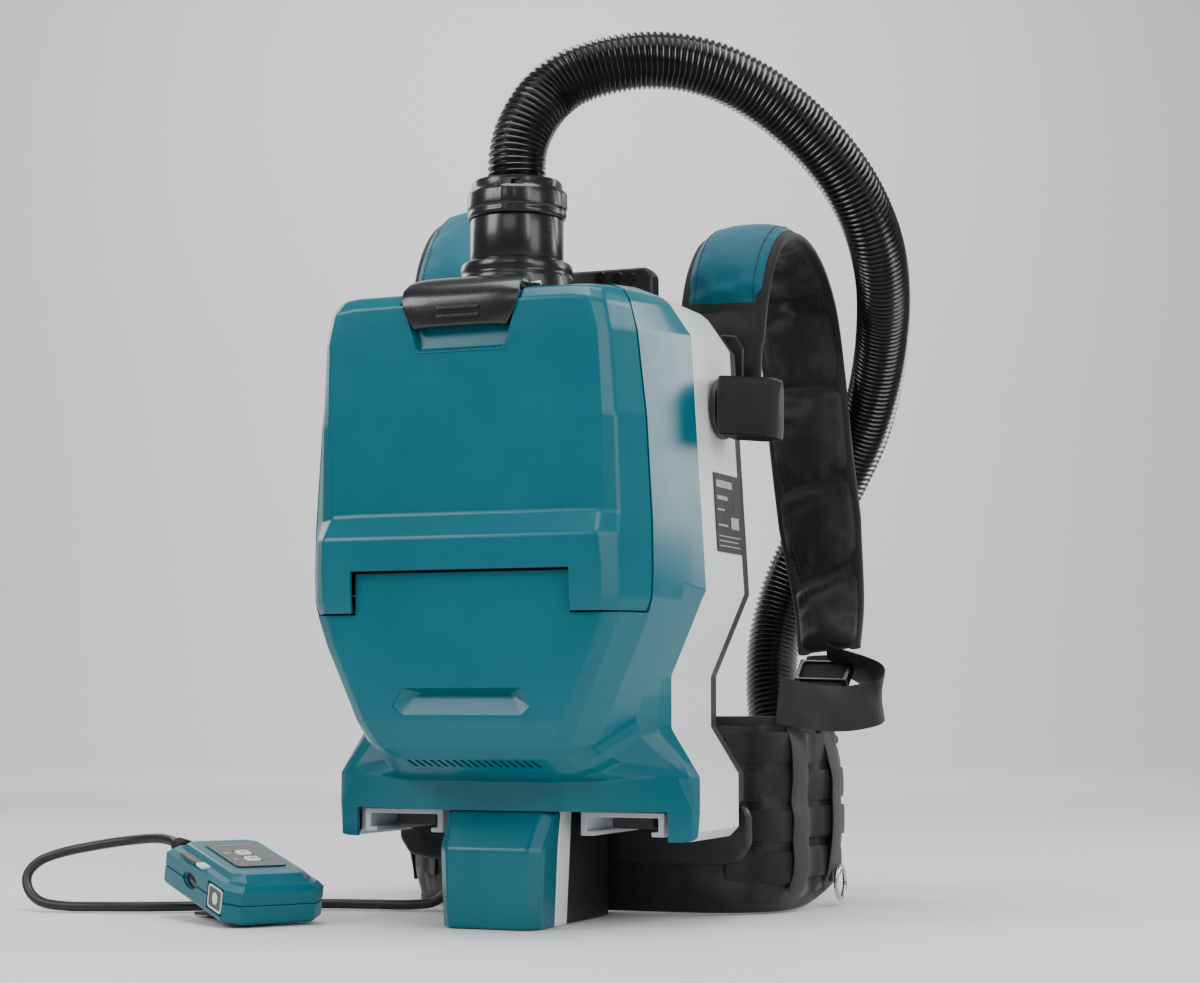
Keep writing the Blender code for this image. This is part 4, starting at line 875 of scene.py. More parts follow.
dress("lid_hinge_pin_right", 0.0003, 2)
dress("inlet_seal", 0.0006, 2)
dress("rating_label", 0.0002, 2)
for sd in ("left", "right"):
    dress("battery_dock_" + sd, 0.0008, 3)
    dress("battery_terminal_" + sd, 0.0005, 2)
dress("cord_gland", 0.0010, 3)
dress("d_ring", 0.0)
dress("foot_front", 0.0022, 4, angle=12)
dress("hose_end_cuff", 0.0008, 3)

# ------------------------------------------------------------------ hose port
lathe_port = lathe("port_flange", [(0.0205, 0.4340), (0.0250, 0.4340), (0.0250, 0.4800), (0.0435, 0.4800), (0.0445, 0.4815), (0.0448, 0.4950), (0.0440, 0.4972), (0.0432, 0.4985),
                                   (0.0432, 0.5000), (0.0438, 0.5012), (0.0438, 0.5050), (0.0430, 0.5072), (0.0405, 0.5090), (0.0385, 0.5098), (0.0205, 0.5098)], (0, 0, 0), "gloss", 96)
body(lathe_port, "inlet_port")
sl = lathe("sleeve", [(0.0205, 0.5103), (0.0362, 0.5103), (0.0366, 0.5112), (0.0366, 0.5420), (0.0360, 0.5436), (0.0300, 0.5436), (0.0300, 0.5725), (0.0205, 0.5725)], (0, 0, 0), "gloss", 96)
body(sl, "hose_sleeve")


def lobes(a, j, r):
    if r < 0.036:
        return r
    c = math.cos(4 * a - 0.6)
    return r + 0.0012 * max(0.0, (c - 0.86) / 0.14) ** 0.5 if c > 0.86 else r


rg = lathe("lock_ring", [(0.0303, 0.5440), (0.0372, 0.5440), (0.0382, 0.5448), (0.0386, 0.5460), (0.0386, 0.5478), (0.0381, 0.5486), (0.0381, 0.5500), (0.0388, 0.5510), (0.0390, 0.5530),
                         (0.0390, 0.5625), (0.0384, 0.5642), (0.0366, 0.5658), (0.0358, 0.5670), (0.0356, 0.5712), (0.0350, 0.5730), (0.0338, 0.5738), (0.0303, 0.5738)], (0, 0, 0), "gloss", 144, rfun=lobes)
win = prism("window_cut", [(0.0100, 0.5658), (0.0210, 0.5658), (0.0210, 0.5698), (0.0100, 0.5698)], lambda a, b, t: (a, t, b), -0.0420, -0.0310, "gloss")
carve(rg, win)
rg.data.shade_smooth()
rg.data.set_sharp_from_angle(angle=math.radians(32))
body(rg, "hose_lock_ring")

# ----------------------------------------------------------------------- hose
HOSE = [(0, 0, 0.5742), (0, 0, 0.5940), (0.0030, 0.0030, 0.6130), (0.0105, 0.0100, 0.6330), (0.0205, 0.0200, 0.6500), (0.0380, 0.0300, 0.6635),
        (0.0690, 0.0450, 0.6740), (0.0986, 0.0600, 0.6770), (0.1294, 0.0780, 0.6725), (0.1590, 0.1000, 0.6590), (0.1860, 0.1250, 0.6375),
        (0.2080, 0.1500, 0.6120), (0.2230, 0.1760, 0.5840), (0.2300, 0.2050, 0.5550), (0.2280, 0.2420, 0.5240), (0.2165, 0.2850, 0.4900),
        (0.1990, 0.3250, 0.4480), (0.1790, 0.3520, 0.4060), (0.1540, 0.3670, 0.3640), (0.1260, 0.3760, 0.3220), (0.1030, 0.3780, 0.2800),
        (0.0905, 0.3740, 0.2370), (0.0890, 0.3640, 0.1960), (0.0940, 0.3530, 0.1560), (0.1006, 0.3448, 0.1150), (0.1006, 0.3448, 0.0692)]
hose_curve = catmull(HOSE, 24)
HL = length(hose_curve)
PITCH = 0.0046
ribs = int(HL / PITCH)
fine = resample(hose_curve, n=ribs * 5)
fr = frames(fine, Vector((1, 0, 0)))
K = 44
v, f = [], []
shape = [0.0, 0.72, 1.0, 0.78, 0.08]
nr = len(fr)
for i, (p, t, u, w_) in enumerate(fr):
    g = shape[i % 5]
    r = 0.0204 + 0.0026 * g
    if i < 3:
        r = min(r, 0.0215)
    for j in range(K):
        a = 2 * math.pi * j / K
        v.append(tuple(p + u * (r * math.cos(a)) + w_ * (r * math.sin(a))))
for i in range(nr - 1):
    for j in range(K):
        l = (j + 1) % K
        f.append((i * K + j, i * K + l, (i + 1) * K + l, (i + 1) * K + j))
f.append(tuple(range(K - 1, -1, -1)))
f.append(tuple((nr - 1) * K + j for j in range(K)))
hose = new("suction_hose", v, f, "hose", angle=60)
body(hose, "hose")
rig.cord(hose, exit=(0, 0, 0.5742), length=round(HL, 4), diameter=0.046, far_end="connector", stiffness="stiff", lay="loose",
        path=[tuple(p) for p in resample(hose_curve, 0.01)], with_pieces=[bpy.data.objects["hose_end_cuff_shown"]])

# ----------------------------------------------------------------- remote cord
RC = Vector((-0.182, -0.122, 0.0))
RW = Vector((0.5779, 0.8161, 0.0)).normalized()
_l = Vector((-RW.y, RW.x, 0.0))
TILT = math.radians(12)
RL = _l * math.cos(TILT) + Vector((0, 0, 1)) * math.sin(TILT)
RN = Vector((0, 0, 1)) * math.cos(TILT) - _l * math.sin(TILT)
R_LEN, R_WID, R_T = 0.130, 0.084, 0.0360


def rp(w, l, h):
    return tuple(RC + RW * w + RL * l + RN * h)


GLAND_Y, GLAND_Z = 0.0860, 0.0380
E_END = Vector(rp(0.020, R_LEN + 0.0173, 0.0245))
CORD = [(-0.0543, GLAND_Y, GLAND_Z), (-0.0700, GLAND_Y, GLAND_Z), (-0.0835, 0.0855, 0.0320), (-0.0945, 0.0835, 0.0180), (-0.1065, 0.0795, 0.0072),
        (-0.1240, 0.0740, 0.0046), (-0.1550, 0.0670, 0.0044), (-0.1900, 0.0590, 0.0044), (-0.2250, 0.0430, 0.0044), (-0.2560, 0.0190, 0.0044),
        (-0.2840, -0.0040, 0.0044), (-0.3150, -0.0230, 0.0044), (-0.3480, -0.0350, 0.0044), (-0.3800, -0.0420, 0.0046), (-0.4020, -0.0430, 0.0078),
        (-0.4150, -0.0400, 0.0165), (-0.4205, -0.0340, 0.0280), (-0.4150, -0.0270, 0.0380), (-0.3990, -0.0205, 0.0450), (-0.3720, -0.0140, 0.0510),
        (-0.3400, -0.0080, 0.0560)]
CORD += [tuple(E_END + RL * 0.024 + Vector((-0.004, -0.003, -0.0010))), tuple(E_END + RL * 0.010), tuple(E_END)]
cord_curve = catmull(CORD, 12)
CL = length(cord_curve)
cord = round_tube("remote_lead", resample(cord_curve, 0.004), 0.004, "cord", 18)
body(cord, "remote_cord")
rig.cord(cord, exit=CORD[0], length=round(CL, 4), diameter=0.008, far_end="object", stiffness="limp", lay="loose",
        path=[tuple(p) for p in resample(cord_curve, 0.006)])

# ---------------------------------------------------------------- soft goods
from mathutils.bvhtree import BVHTree


def simulate(ob, pin, pressure=4.0, frames_=16, cap=0.010, mass=0.3, shrink=0.0):
    """Blow the closed cover up against its seams; pinned vertices stay where they are sewn."""
    if QUICK:
        return ob
    vg = ob.vertex_groups.new(name="sewn")
    for i, wgt in pin.items():
        vg.add([i], wgt, "REPLACE")
    base = [q.co.copy() for q in ob.data.vertices]
    md = ob.modifiers.new("cloth", "CLOTH")
    st = md.settings
    st.quality = 6
    st.mass = mass
    st.tension_stiffness = 18
    st.compression_stiffness = 6
    st.shear_stiffness = 6
    st.bending_stiffness = 0.35
    st.air_damping = 2.0
    st.use_pressure = True
    st.uniform_pressure_force = pressure
    st.vertex_group_mass = "sewn"
    st.pin_stiffness = 1.0
    st.shrink_min = -0.03 - shrink
    st.effector_weights.gravity = 0.0
    md.collision_settings.use_collision = False
    md.collision_settings.use_self_collision = False
    sc = bpy.context.scene
    md.point_cache.frame_start = 1
    md.point_cache.frame_end = frames_
    for fnum in range(1, frames_ + 1):
        sc.frame_set(fnum)
    dg = bpy.context.evaluated_depsgraph_get()
    ev = ob.evaluated_get(dg)
    got = [q.co.copy() for q in ev.data.vertices]
    ob.modifiers.clear()
    for q, b0, g in zip(ob.data.vertices, base, got):
        d = g - b0
        if not all(abs(c) < 1.0 for c in d):
            d = Vector((0, 0, 0))
        if d.length > cap:
            d = d * (cap / d.length)
        q.co = b0 + d
    sc.frame_set(1)
    return ob


def sub(ob, level=1):
    md = ob.modifiers.new("sub", "SUBSURF")
    md.levels = md.render_levels = level
    bake(ob)
    ob.data.shade_smooth()
    return ob


def padded_band(name, pts, width, thick, across, mats, creases=(), crease_w=0.010, paint=None, step=0.0048, nx=16, seed=1.0, puff=1.0, flip=1.0, wav=0.0012, pressure=7.0):
    """Padded fabric band along a path: two faces sewn together at the edges,
    pinched where it is quilted, blown up by the cloth solver."""
    line = resample(pts, step)
    n = len(line)
    total = length(line)
    v, f, sewn = [], [], {}
    info = []
    ring = 2 * nx
    for i, p in enumerate(line):
        u = i / (n - 1)
        t = (line[min(i + 1, n - 1)] - line[max(i - 1, 0)]).normalized()
        ac = Vector(across(u)) if callable(across) else Vector(across)
        wv = (ac - t * ac.dot(t)).normalized()
        nv = t.cross(wv) * flip
        hw = (width(u) if callable(width) else width) / 2
        th = (thick(u) if callable(thick) else thick) / 2
        end = min(1.0, min(u, 1 - u) * total / 0.012)
        th *= (0.35 + 0.65 * math.sin(end * math.pi / 2))
        pinch = 1.0
        for c in creases:
            dist = abs(u - c) * total
            pinch = min(pinch, 0.04 + 0.96 * min(1.0, dist / (crease_w * 1.9)) ** 0.75)
        for k in range(ring):
            top = k < nx
            s = -1 + 2 * (k / nx) if top else 1 - 2 * ((k - nx) / nx)
            prof = (max(0.0, 1 - abs(s) ** 2.6)) ** 0.55
            pleat = 0.0
            for c in creases:
                dd_ = (u - c) * total - 0.012 * s * math.sin(seed + 40 * c)
                pleat += 0.0028 * math.exp(-((dd_ - 0.011) / 0.0045) ** 2) - 0.0030 * math.exp(-(dd_ / 0.0030) ** 2)
            h = th * (0.10 + 0.90 * prof * pinch) * (1 if top else -1)
            h += pleat * prof * (1 if top else -1)
            if abs(s) > 0.999:
                h = 0.0
            a = s * hw
            q = p + wv * a
            wob = noise.noise(q * 34 + Vector((seed, top * 7.0, 0))) * wav * prof + noise.noise(q * 90 + Vector((seed * 3, 0, top * 5.0))) * wav * 0.35 * prof
            q = q + nv * (h * puff + wob)
            v.append(tuple(q))
            idx = len(v) - 1
            info.append((u, s, top))
            stitched = abs(s) > 0.86 or i < 2 or i > n - 3 or pinch < 0.22
            sewn[idx] = 1.0 if stitched else 0.0
    for i in range(n - 1):
        for k in range(ring):
            l = (k + 1) % ring
            f.append((i * ring + k, i * ring + l, (i + 1) * ring + l, (i + 1) * ring + k))
    # ends
    for i, o in ((0, 1), (n - 1, -1)):
        for k in range(nx):
            a, b = i * ring + k, i * ring + k + 1
            c, d = i * ring + (ring - k - 1), i * ring + (ring - k) % ring
            q = [a, b, c, d]
            f.append(tuple(q if o > 0 else q[::-1]))
    me = bpy.data.meshes.new(name)
    bm = bmesh.new()
    vs = [bm.verts.new(q) for q in v]
    for q in f:
        ids = []
        for j in q:
            if j not in ids:
                ids.append(j)
        if len(ids) > 2:
            try:
                fa = bm.faces.new([vs[j] for j in ids])
                if paint:
                    us = [info[j] for j in ids]
                    fa.material_index = paint(sum(x[0] for x in us) / len(us), sum(x[1] for x in us) / len(us), all(x[2] or abs(x[1]) > 0.99 for x in us))
            except ValueError:
                pass
    bm.verts.index_update()
    bmesh.ops.recalc_face_normals(bm, faces=bm.faces[:])
    bm.to_mesh(me)
    bm.free()
    ob = link(bpy.data.objects.new(name, me))
    for m_ in mats:
        me.materials.append(MAT[m_])
    simulate(ob, {i: w_ for i, w_ in sewn.items() if w_ > 0}, pressure)
    sub(ob, 1)
    return ob


def tape(name, pts, across, width, thick, mat, step=0.004, ny=6, wav=0.0004, seed=3.0, bow=0.0, lift=0.0, ends=True):
    """Woven tape or webbing along a path, with rolled edges and a little life in it."""
    line = resample(pts, step) if step else pts
    n = len(line)
    v, f = [], []
    ring = 2 * (ny + 1)
    for i, p in enumerate(line):
        u = i / (n - 1)
        t = (line[min(i + 1, n - 1)] - line[max(i - 1, 0)]).normalized()
        ac = Vector(across(u)) if callable(across) else Vector(across)
        wv = (ac - t * ac.dot(t)).normalized()
        nv = t.cross(wv)
        hw = (width(u) if callable(width) else width) / 2
        for side in (1, -1):
            for k in range(ny + 1):
                s = -1 + 2 * k / ny
                if side < 0:
                    s = -s
                e = (1 - abs(s) ** 4) ** 0.5 if abs(s) < 1 else 0.0
                q = p + wv * (s * hw)
                w0 = noise.noise(q * 40 + Vector((seed, 0, 0))) * wav + bow * (1 - s * s)
                v.append(tuple(q + nv * (side * thick / 2 * (0.35 + 0.65 * e) + w0 + lift)))
    for i in range(n - 1):
        for k in range(ring):
            l = (k + 1) % ring
            f.append((i * ring + k, i * ring + l, (i + 1) * ring + l, (i + 1) * ring + k))
    f.append(tuple(range(ring - 1, -1, -1)))
    f.append(tuple((n - 1) * ring + k for k in range(ring)))
    return new(name, v, f, mat, angle=50)


def stitches(name, pts, normals, mat, r=0.00042, stitch=0.0030, gap=0.0012):
    """Row of short rounded thread stitches."""
    acc = 0.0
    v, f = [], []
    L = length(pts)
    line = resample(pts, (stitch + gap))
    nn = resample(normals, n=len(line) - 1)
    for i in range(len(line) - 1):
        a, b = line[i], line[i + 1]
        d = b - a
        if d.length < 1e-6:
            continue
        b = a + d * (stitch / (stitch + gap))
        t = d.normalized()
        nv = (nn[i] - t * nn[i].dot(t)).normalized()
        w_ = t.cross(nv)
        base = len(v)
        for q, sc_ in ((0.0, 0.25), (0.2, 0.95), (0.8, 0.95), (1.0, 0.25)):
            c = a.lerp(b, q) + nv * (r * 0.2 + 0.3 * r * math.sin(q * math.pi))
            for k in range(5):
                an = 2 * math.pi * k / 5
                v.append(tuple(c + nv * (r * sc_ * math.sin(an)) + w_ * (r * 1.25 * sc_ * math.cos(an))))
        for j in range(3):
            for k in range(5):
                l = (k + 1) % 5
                f.append((base + j * 5 + k, base + j * 5 + l, base + (j + 1) * 5 + l, base + (j + 1) * 5 + k))
        f.append(tuple(base + k for k in reversed(range(5))))
        f.append(tuple(base + 15 + k for k in range(5)))
    return new(name, v, f, mat)


def onto(ob, pts, toward, reach=0.05, lift=0.0006):
    """Drop points on a surface along a direction; returns points and normals."""
    bm = bmesh.new()
    bm.from_mesh(ob.data)
    tree = BVHTree.FromBMesh(bm)
    bm.free()
    P, N = [], []
    for i, p in enumerate(pts):
        d = (toward[i] if isinstance(toward, list) else Vector(toward)).normalized()
        hit = tree.ray_cast(p - d * reach, d, reach * 2)
        if hit[0] is None:
            hit = tree.find_nearest(p)
        nrm = hit[1] if hit[1].dot(d) < 0 else -hit[1]
        P.append(hit[0] + nrm * lift)
        N.append(nrm)
    return P, N


def path_frames(pts, across):
    out = []
    n = len(pts)
    for i, p in enumerate(pts):
        t = (pts[min(i + 1, n - 1)] - pts[max(i - 1, 0)]).normalized()
        ac = Vector(across)
        wv = (ac - t * ac.dot(t)).normalized()
        out.append((p, t, wv, t.cross(wv)))
    return out


STRAP_R = [(0.122, 0.1306, 0.400), (0.122, 0.1312, 0.440), (0.123, 0.1380, 0.485), (0.125, 0.1510, 0.522), (0.127, 0.1780, 0.549),
           (0.130, 0.2160, 0.556), (0.134, 0.2540, 0.542), (0.138, 0.2830, 0.508), (0.141, 0.2980, 0.455), (0.146, 0.3030, 0.385),
           (0.155, 0.3020, 0.310), (0.165, 0.2900, 0.250), (0.171, 0.2690, 0.212)]
STRAP_L = [(0.122, 0.1306, 0.400), (0.122, 0.1312, 0.440), (0.123, 0.1380, 0.495), (0.125, 0.1560, 0.545), (0.127, 0.1900, 0.580),
           (0.130, 0.2360, 0.592), (0.134, 0.2790, 0.575), (0.138, 0.3080, 0.530), (0.141, 0.3200, 0.465), (0.145, 0.3200, 0.385),
           (0.151, 0.3120, 0.310), (0.157, 0.2940, 0.250), (0.160, 0.2690, 0.212)]


def sgn(path, s):
    return [(s * x, y, z) for x, y, z in path]


def strap_w(u):
    return 0.068 if u < 0.1 else (0.0715 if u < 0.8 else 0.0715 - 0.020 * (u - 0.8) / 0.2)


def shoulder(side, path, seed):
    line = catmull(path, 10)
    s = 1 if side == "right" else -1
    node = "shoulder_strap_" + side

    def paint(u, sx, top):
        outer = (not top)
        if outer and 0.15 < u < 0.47 and abs(sx) < 0.88:
            return 1
        return 0 if outer else 2

    ob = padded_band("strap_pad_" + side, line, strap_w, 0.0195, (1, 0, 0), ("cloth", "tealcloth", "mesh"), creases=(0.05, 0.150, 0.470, 0.600, 0.740, 0.875), crease_w=0.015,
                     paint=paint, seed=seed, nx=18, wav=0.0016)
    body(ob, node)
    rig.padded(ob, 0.9)
    fr_ = path_frames(resample(line, 0.004), (1, 0, 0))
    n_ = len(fr_)
    for e in (-1, 1):
        edge = [p + wv * (e * (strap_w(i / (n_ - 1)) / 2 - 0.0010)) for i, (p, t, wv, nv) in enumerate(fr_)]
        vv, ff = [], []
        K_ = 12
        for i, (p, t, wv, nv) in enumerate(fr_):
            c = edge[i]
            for k in range(K_):
                a = 2 * math.pi * k / K_
                ca, sa = math.cos(a), math.sin(a)
                rr = 1 + 0.10 * noise.noise(c * 60 + Vector((seed, e, 0)))
                q = c + wv * (e * -0.0026 + 0.0052 * math.copysign(abs(ca) ** 0.7, ca) * 1.0) + nv * (0.0036 * math.copysign(abs(sa) ** 0.8, sa) * rr)
                vv.append(tuple(q))
        for i in range(n_ - 1):
            for k in range(K_):
                l = (k + 1) % K_
                ff.append((i * K_ + k, i * K_ + l, (i + 1) * K_ + l, (i + 1) * K_ + k))
        ff += [tuple(range(K_ - 1, -1, -1)), tuple((n_ - 1) * K_ + k for k in range(K_))]
        b = new("strap_binding_%s_%d" % (side, e + 2), vv, ff, "tape", angle=60)
        body(b, node, replaces=False)
    # stitch rows 9 mm inside each edge
    for which, sg in (("outer", 1), ("inner", -1)):
        for e in (-1, 1):
            pts = [p + wv * (e * (strap_w(i / (n_ - 1)) / 2 - 0.0105)) for i, (p, t, wv, nv) in enumerate(fr_)][4:-4]
            dirs = [nv * sg for (p, t, wv, nv) in fr_][4:-4]
            P, N = onto(ob, pts, dirs, 0.012, 0.0003)
            st = stitches("strap_stitch_%s_%s_%d" % (side, which, e + 2), P, N, "thread")
            body(st, node, replaces=False)
    # piping round the coloured panel
    for c in (0.15, 0.47):
        i = int(c * (n_ - 1))
        p, t, wv, nv = fr_[i]
        hw = strap_w(c) / 2 - 0.006
        pts = [p + wv * (hw * (-1 + 2 * k / 24)) for k in range(25)]
        P, N = onto(ob, pts, nv, 0.016, 0.0004)
        pp = tape("strap_panel_seam_%s_%d" % (side, int(c * 100)), P, t, 0.0085, 0.0016, "tape", step=0.003, seed=seed)
        body(pp, node, replaces=False)
    # stabiliser webbing sewn up the outer face of the lower half
    lo, hi = int(0.50 * (n_ - 1)), int(0.985 * (n_ - 1))
    pts = [fr_[i][0] for i in range(lo, hi, 2)]
    P, N = onto(ob, pts, [fr_[i][3] for i in range(lo, hi, 2)], 0.02, 0.0007)
    tp = tape("strap_webbing_run_" + side, P, (1, 0, 0), 0.0250, 0.0018, "web", seed=seed)
    body(tp, node, replaces=False)
    return ob, fr_


pad_r, fr_r = shoulder("right", STRAP_R, 1.3)
pad_l, fr_l = shoulder("left", sgn(STRAP_L, -1), 5.7)

# webbing from the strap ends to the belt, with a ladder-lock buckle each and a folded tail
WEB_R = [(0.1714, 0.2650, 0.2070), (0.1716, 0.2520, 0.1930), (0.1696, 0.2360, 0.1770), (0.1665, 0.2210, 0.1625)]
WEB_L = sgn([(0.1602, 0.2675, 0.2102), (0.1620, 0.2530, 0.1945), (0.1638, 0.2360, 0.1770), (0.1650, 0.2210, 0.1625)], -1)
for side, path in (("right", WEB_R), ("left", WEB_L)):
    s = 1 if side == "right" else -1
    wb = tape("web_" + side, catmull(path, 8), (1, 0, 0), 0.0375, 0.0026, "web", step=0.003)
    body(wb, "strap_webbing_" + side)
    a, b = Vector(path[0]), Vector(path[1])
    tail = [(0.1714, 0.2640, 0.2065), (0.1850, 0.2620, 0.2010), (0.2060, 0.2560, 0.1930), (0.2210, 0.2460, 0.1820), (0.2230, 0.2350, 0.1700), (0.2100, 0.2170, 0.1640), (0.1920, 0.1950, 0.1630), (0.1760, 0.1730, 0.1660), (0.1620, 0.1560, 0.1700)]
    tail = [(s * x - (0.0 if s > 0 else -0.0112), y, z) for x, y, z in tail]

    def turn(u, s=s):
        k_ = max(0.0, min(1.0, (u - 0.18) / 0.30))
        k_ = k_ * k_ * (3 - 2 * k_)
        return (s * (0.45 * (1 - k_)), -0.75 * (1 - k_) + 0.05, 0.35 * (1 - k_) + k_)
    tl = tape("web_tail_" + side, catmull(tail, 10), turn, 0.0370, 0.0022, "web", step=0.003, wav=0.0022)
    body(tl, "strap_webbing_" + side, replaces=False)
    fr0 = path_frames([Vector(q) for q in path], (1, 0, 0))[1]
    c, t, wv, nv = fr0

    def bk(u_, v_, w_, c=c, t=t, wv=wv, nv=nv):
        return tuple(c + wv * u_ + t * v_ + nv * w_)
    bl = prism("buckle_" + side, [(-0.0235, -0.012), (0.0235, -0.012), (0.0235, 0.012), (-0.0235, 0.012)], bk, -0.0050, 0.0036, "gloss",
               hole=[(-0.0190, -0.0085), (0.0190, -0.0085), (0.0190, 0.0085), (-0.0190, 0.0085)])
    soft_edges(bl, 0.0012, 3)
    body(bl, "strap_webbing_" + side, replaces=False)

# hip belt
BELT = [(-0.1640, 0.3050, 0), (-0.1655, 0.2500, 0), (-0.1640, 0.1960, 0), (-0.1520, 0.1560, 0), (-0.1200, 0.1330, 0), (-0.0700, 0.1266, 0), (0.0, 0.1262, 0),
        (0.0700, 0.1266, 0), (0.1200, 0.1330, 0), (0.1520, 0.1560, 0), (0.1640, 0.1960, 0), (0.1655, 0.2500, 0), (0.1640, 0.3050, 0)]
belt_line = [q + Vector((0, 0, 0.0790)) for q in catmull(BELT, 10)]


def belt_w(u):
    e = min(u, 1 - u)
    return 0.1555 if e > 0.2 else 0.1555 - 0.034 * (1 - e / 0.2) ** 1.5


belt = padded_band("belt_pad", belt_line, belt_w, 0.0150, (0, 0, 1), ("cloth", "mesh"), creases=(0.145, 0.275, 0.5, 0.725, 0.855), crease_w=0.014,
                   paint=lambda u, s, top: 1 if top else 0, seed=9.1, nx=30, step=0.0052, wav=0.0016)
body(belt, "hip_belt")
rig.padded(belt, 0.9)
bfr = path_frames(resample(belt_line, 0.004), (0, 0, 1))
nb = len(bfr)
out_sign = -1.0 if bfr[nb // 2][3].y > 0 else 1.0
for e in (-1, 1):
    vv, ff = [], []
    K_ = 12
    for i, (p, t, wv, nv) in enumerate(bfr):
        c = p + wv * (e * (belt_w(i / (nb - 1)) / 2 - 0.0036))
        for k in range(K_):
            a = 2 * math.pi * k / K_
            ca, sa = math.cos(a), math.sin(a)
            vv.append(tuple(c + wv * (0.0040 * math.copysign(abs(ca) ** 0.7, ca)) + nv * (0.0038 * math.copysign(abs(sa) ** 0.8, sa))))
    for i in range(nb - 1):
        for k in range(K_):
            l = (k + 1) % K_
            ff.append((i * K_ + k, i * K_ + l, (i + 1) * K_ + l, (i + 1) * K_ + k))
    ff += [tuple(range(K_ - 1, -1, -1)), tuple((nb - 1) * K_ + k for k in range(K_))]
    b = new("belt_binding_%d" % (e + 2), vv, ff, "tape", angle=60)
    body(b, "hip_belt", replaces=False)


def belt_run(u0, u1, z, lift=0.0):
    i0, i1 = int(u0 * (nb - 1)), int(u1 * (nb - 1))
    pts = [Vector((bfr[i][0].x, bfr[i][0].y, z)) for i in range(i0, i1 + 1, 2)]
    dirs = [bfr[i][3] * (-out_sign) for i in range(i0, i1 + 1, 2)]
    return onto(belt, pts, dirs, 0.02, 0.0011 + lift)


for side, (u0, u1) in {"left": (0.04, 0.30), "right": (0.70, 0.96)}.items():
    for k, z in enumerate((0.1310, 0.1005, 0.0700, 0.0370)):
        P, N = belt_run(u0, u1, z)
        P = [p + Vector((0, 0, 0.0010 * math.sin(j * 0.35 + k))) for j, p in enumerate(P)]
        nodes_ = {1: "belt_webbing_upper_" + side, 2: "belt_webbing_lower_" + side}.get(k)
        tb = tape("belt_web_%s_%d" % (side, k + 1), P, (0, 0, 1), 0.0245, 0.0022, "web", step=0.004, seed=k + 2.0, wav=0.0007)
        body(tb, nodes_ or "hip_belt", replaces=bool(nodes_))
    for k, u in enumerate((0.085, 0.200) if side == "left" else (0.800, 0.915)):
        i = int(u * (nb - 1))
        c, t, wv, nv = bfr[i]
        P, N = onto(belt, [Vector((c.x, c.y, z)) for z in (0.018, 0.030, 0.045, 0.060, 0.075, 0.090, 0.105, 0.120, 0.135, 0.146)], nv * (-out_sign), 0.02, 0.0036)
        tv = tape("belt_riser_%s_%d" % (side, k + 1), catmull([tuple(q) for q in P], 4), t, 0.0250, 0.0022, "web", step=0.004, seed=7.0 + k, wav=0.0006)
        body(tv, "hip_belt", replaces=False)

# back pad
bp = [Vector((0, 0.1338, z)) for z in np.linspace(0.2010, 0.4510, 30)]
bpad = padded_band("back_pad_cover", bp, 0.1570, 0.0185, (1, 0, 0), ("mesh", "cloth"), creases=(0.25, 0.5, 0.75), crease_w=0.016, seed=12.0, nx=26, step=0.0055, wav=0.0012)
body(bpad, "back_pad")
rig.padded(bpad, 0.9)

# dust bag: thin fleece, a little slack, with welded edges
src = NODES["dust_bag"]
bme = src.data.copy()
bme.transform(src.matrix_world)
bme.materials.clear()
bag = link(bpy.data.objects.new("dust_bag_fleece", bme))
md = bag.modifiers.new("remesh", "REMESH")
md.mode = "VOXEL"
md.voxel_size = 0.0055
bake(bag)
co_ = [q.co.copy() for q in bag.data.vertices]
lo_ = Vector([min(c[k] for c in co_) for k in range(3)])
hi_ = Vector([max(c[k] for c in co_) for k in range(3)])
mid_ = (lo_ + hi_) / 2
half_ = (hi_ - lo_) / 2
held = {}
for q in bag.data.vertices:
    r_ = Vector([(q.co[k] - mid_[k]) / half_[k] for k in range(3)])
    fold = noise.noise(Vector((q.co.x * 26, q.co.y * 26, q.co.z * 7 + 3.0))) * 0.0034 + noise.noise(q.co * 60) * 0.0016
    near_top = max(0.0, r_.z) ** 3
    pull = -0.0045 + fold - 0.0030 * near_top * math.cos(9 * math.atan2(r_.x, r_.y + 1e-6))
    q.co += Vector((r_.x, r_.y, r_.z * 0.6)).normalized() * pull
    if abs(r_.y) < 0.10 and (abs(r_.x) > 0.9 or abs(r_.z) > 0.9):
        held[q.index] = 1.0
bag.data.materials.append(MAT["fleece"])
simulate(bag, held, 3.0, 16, 0.0040)
sub(bag, 1)
body(bag, "dust_bag")
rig.padded(bag, 0.5)

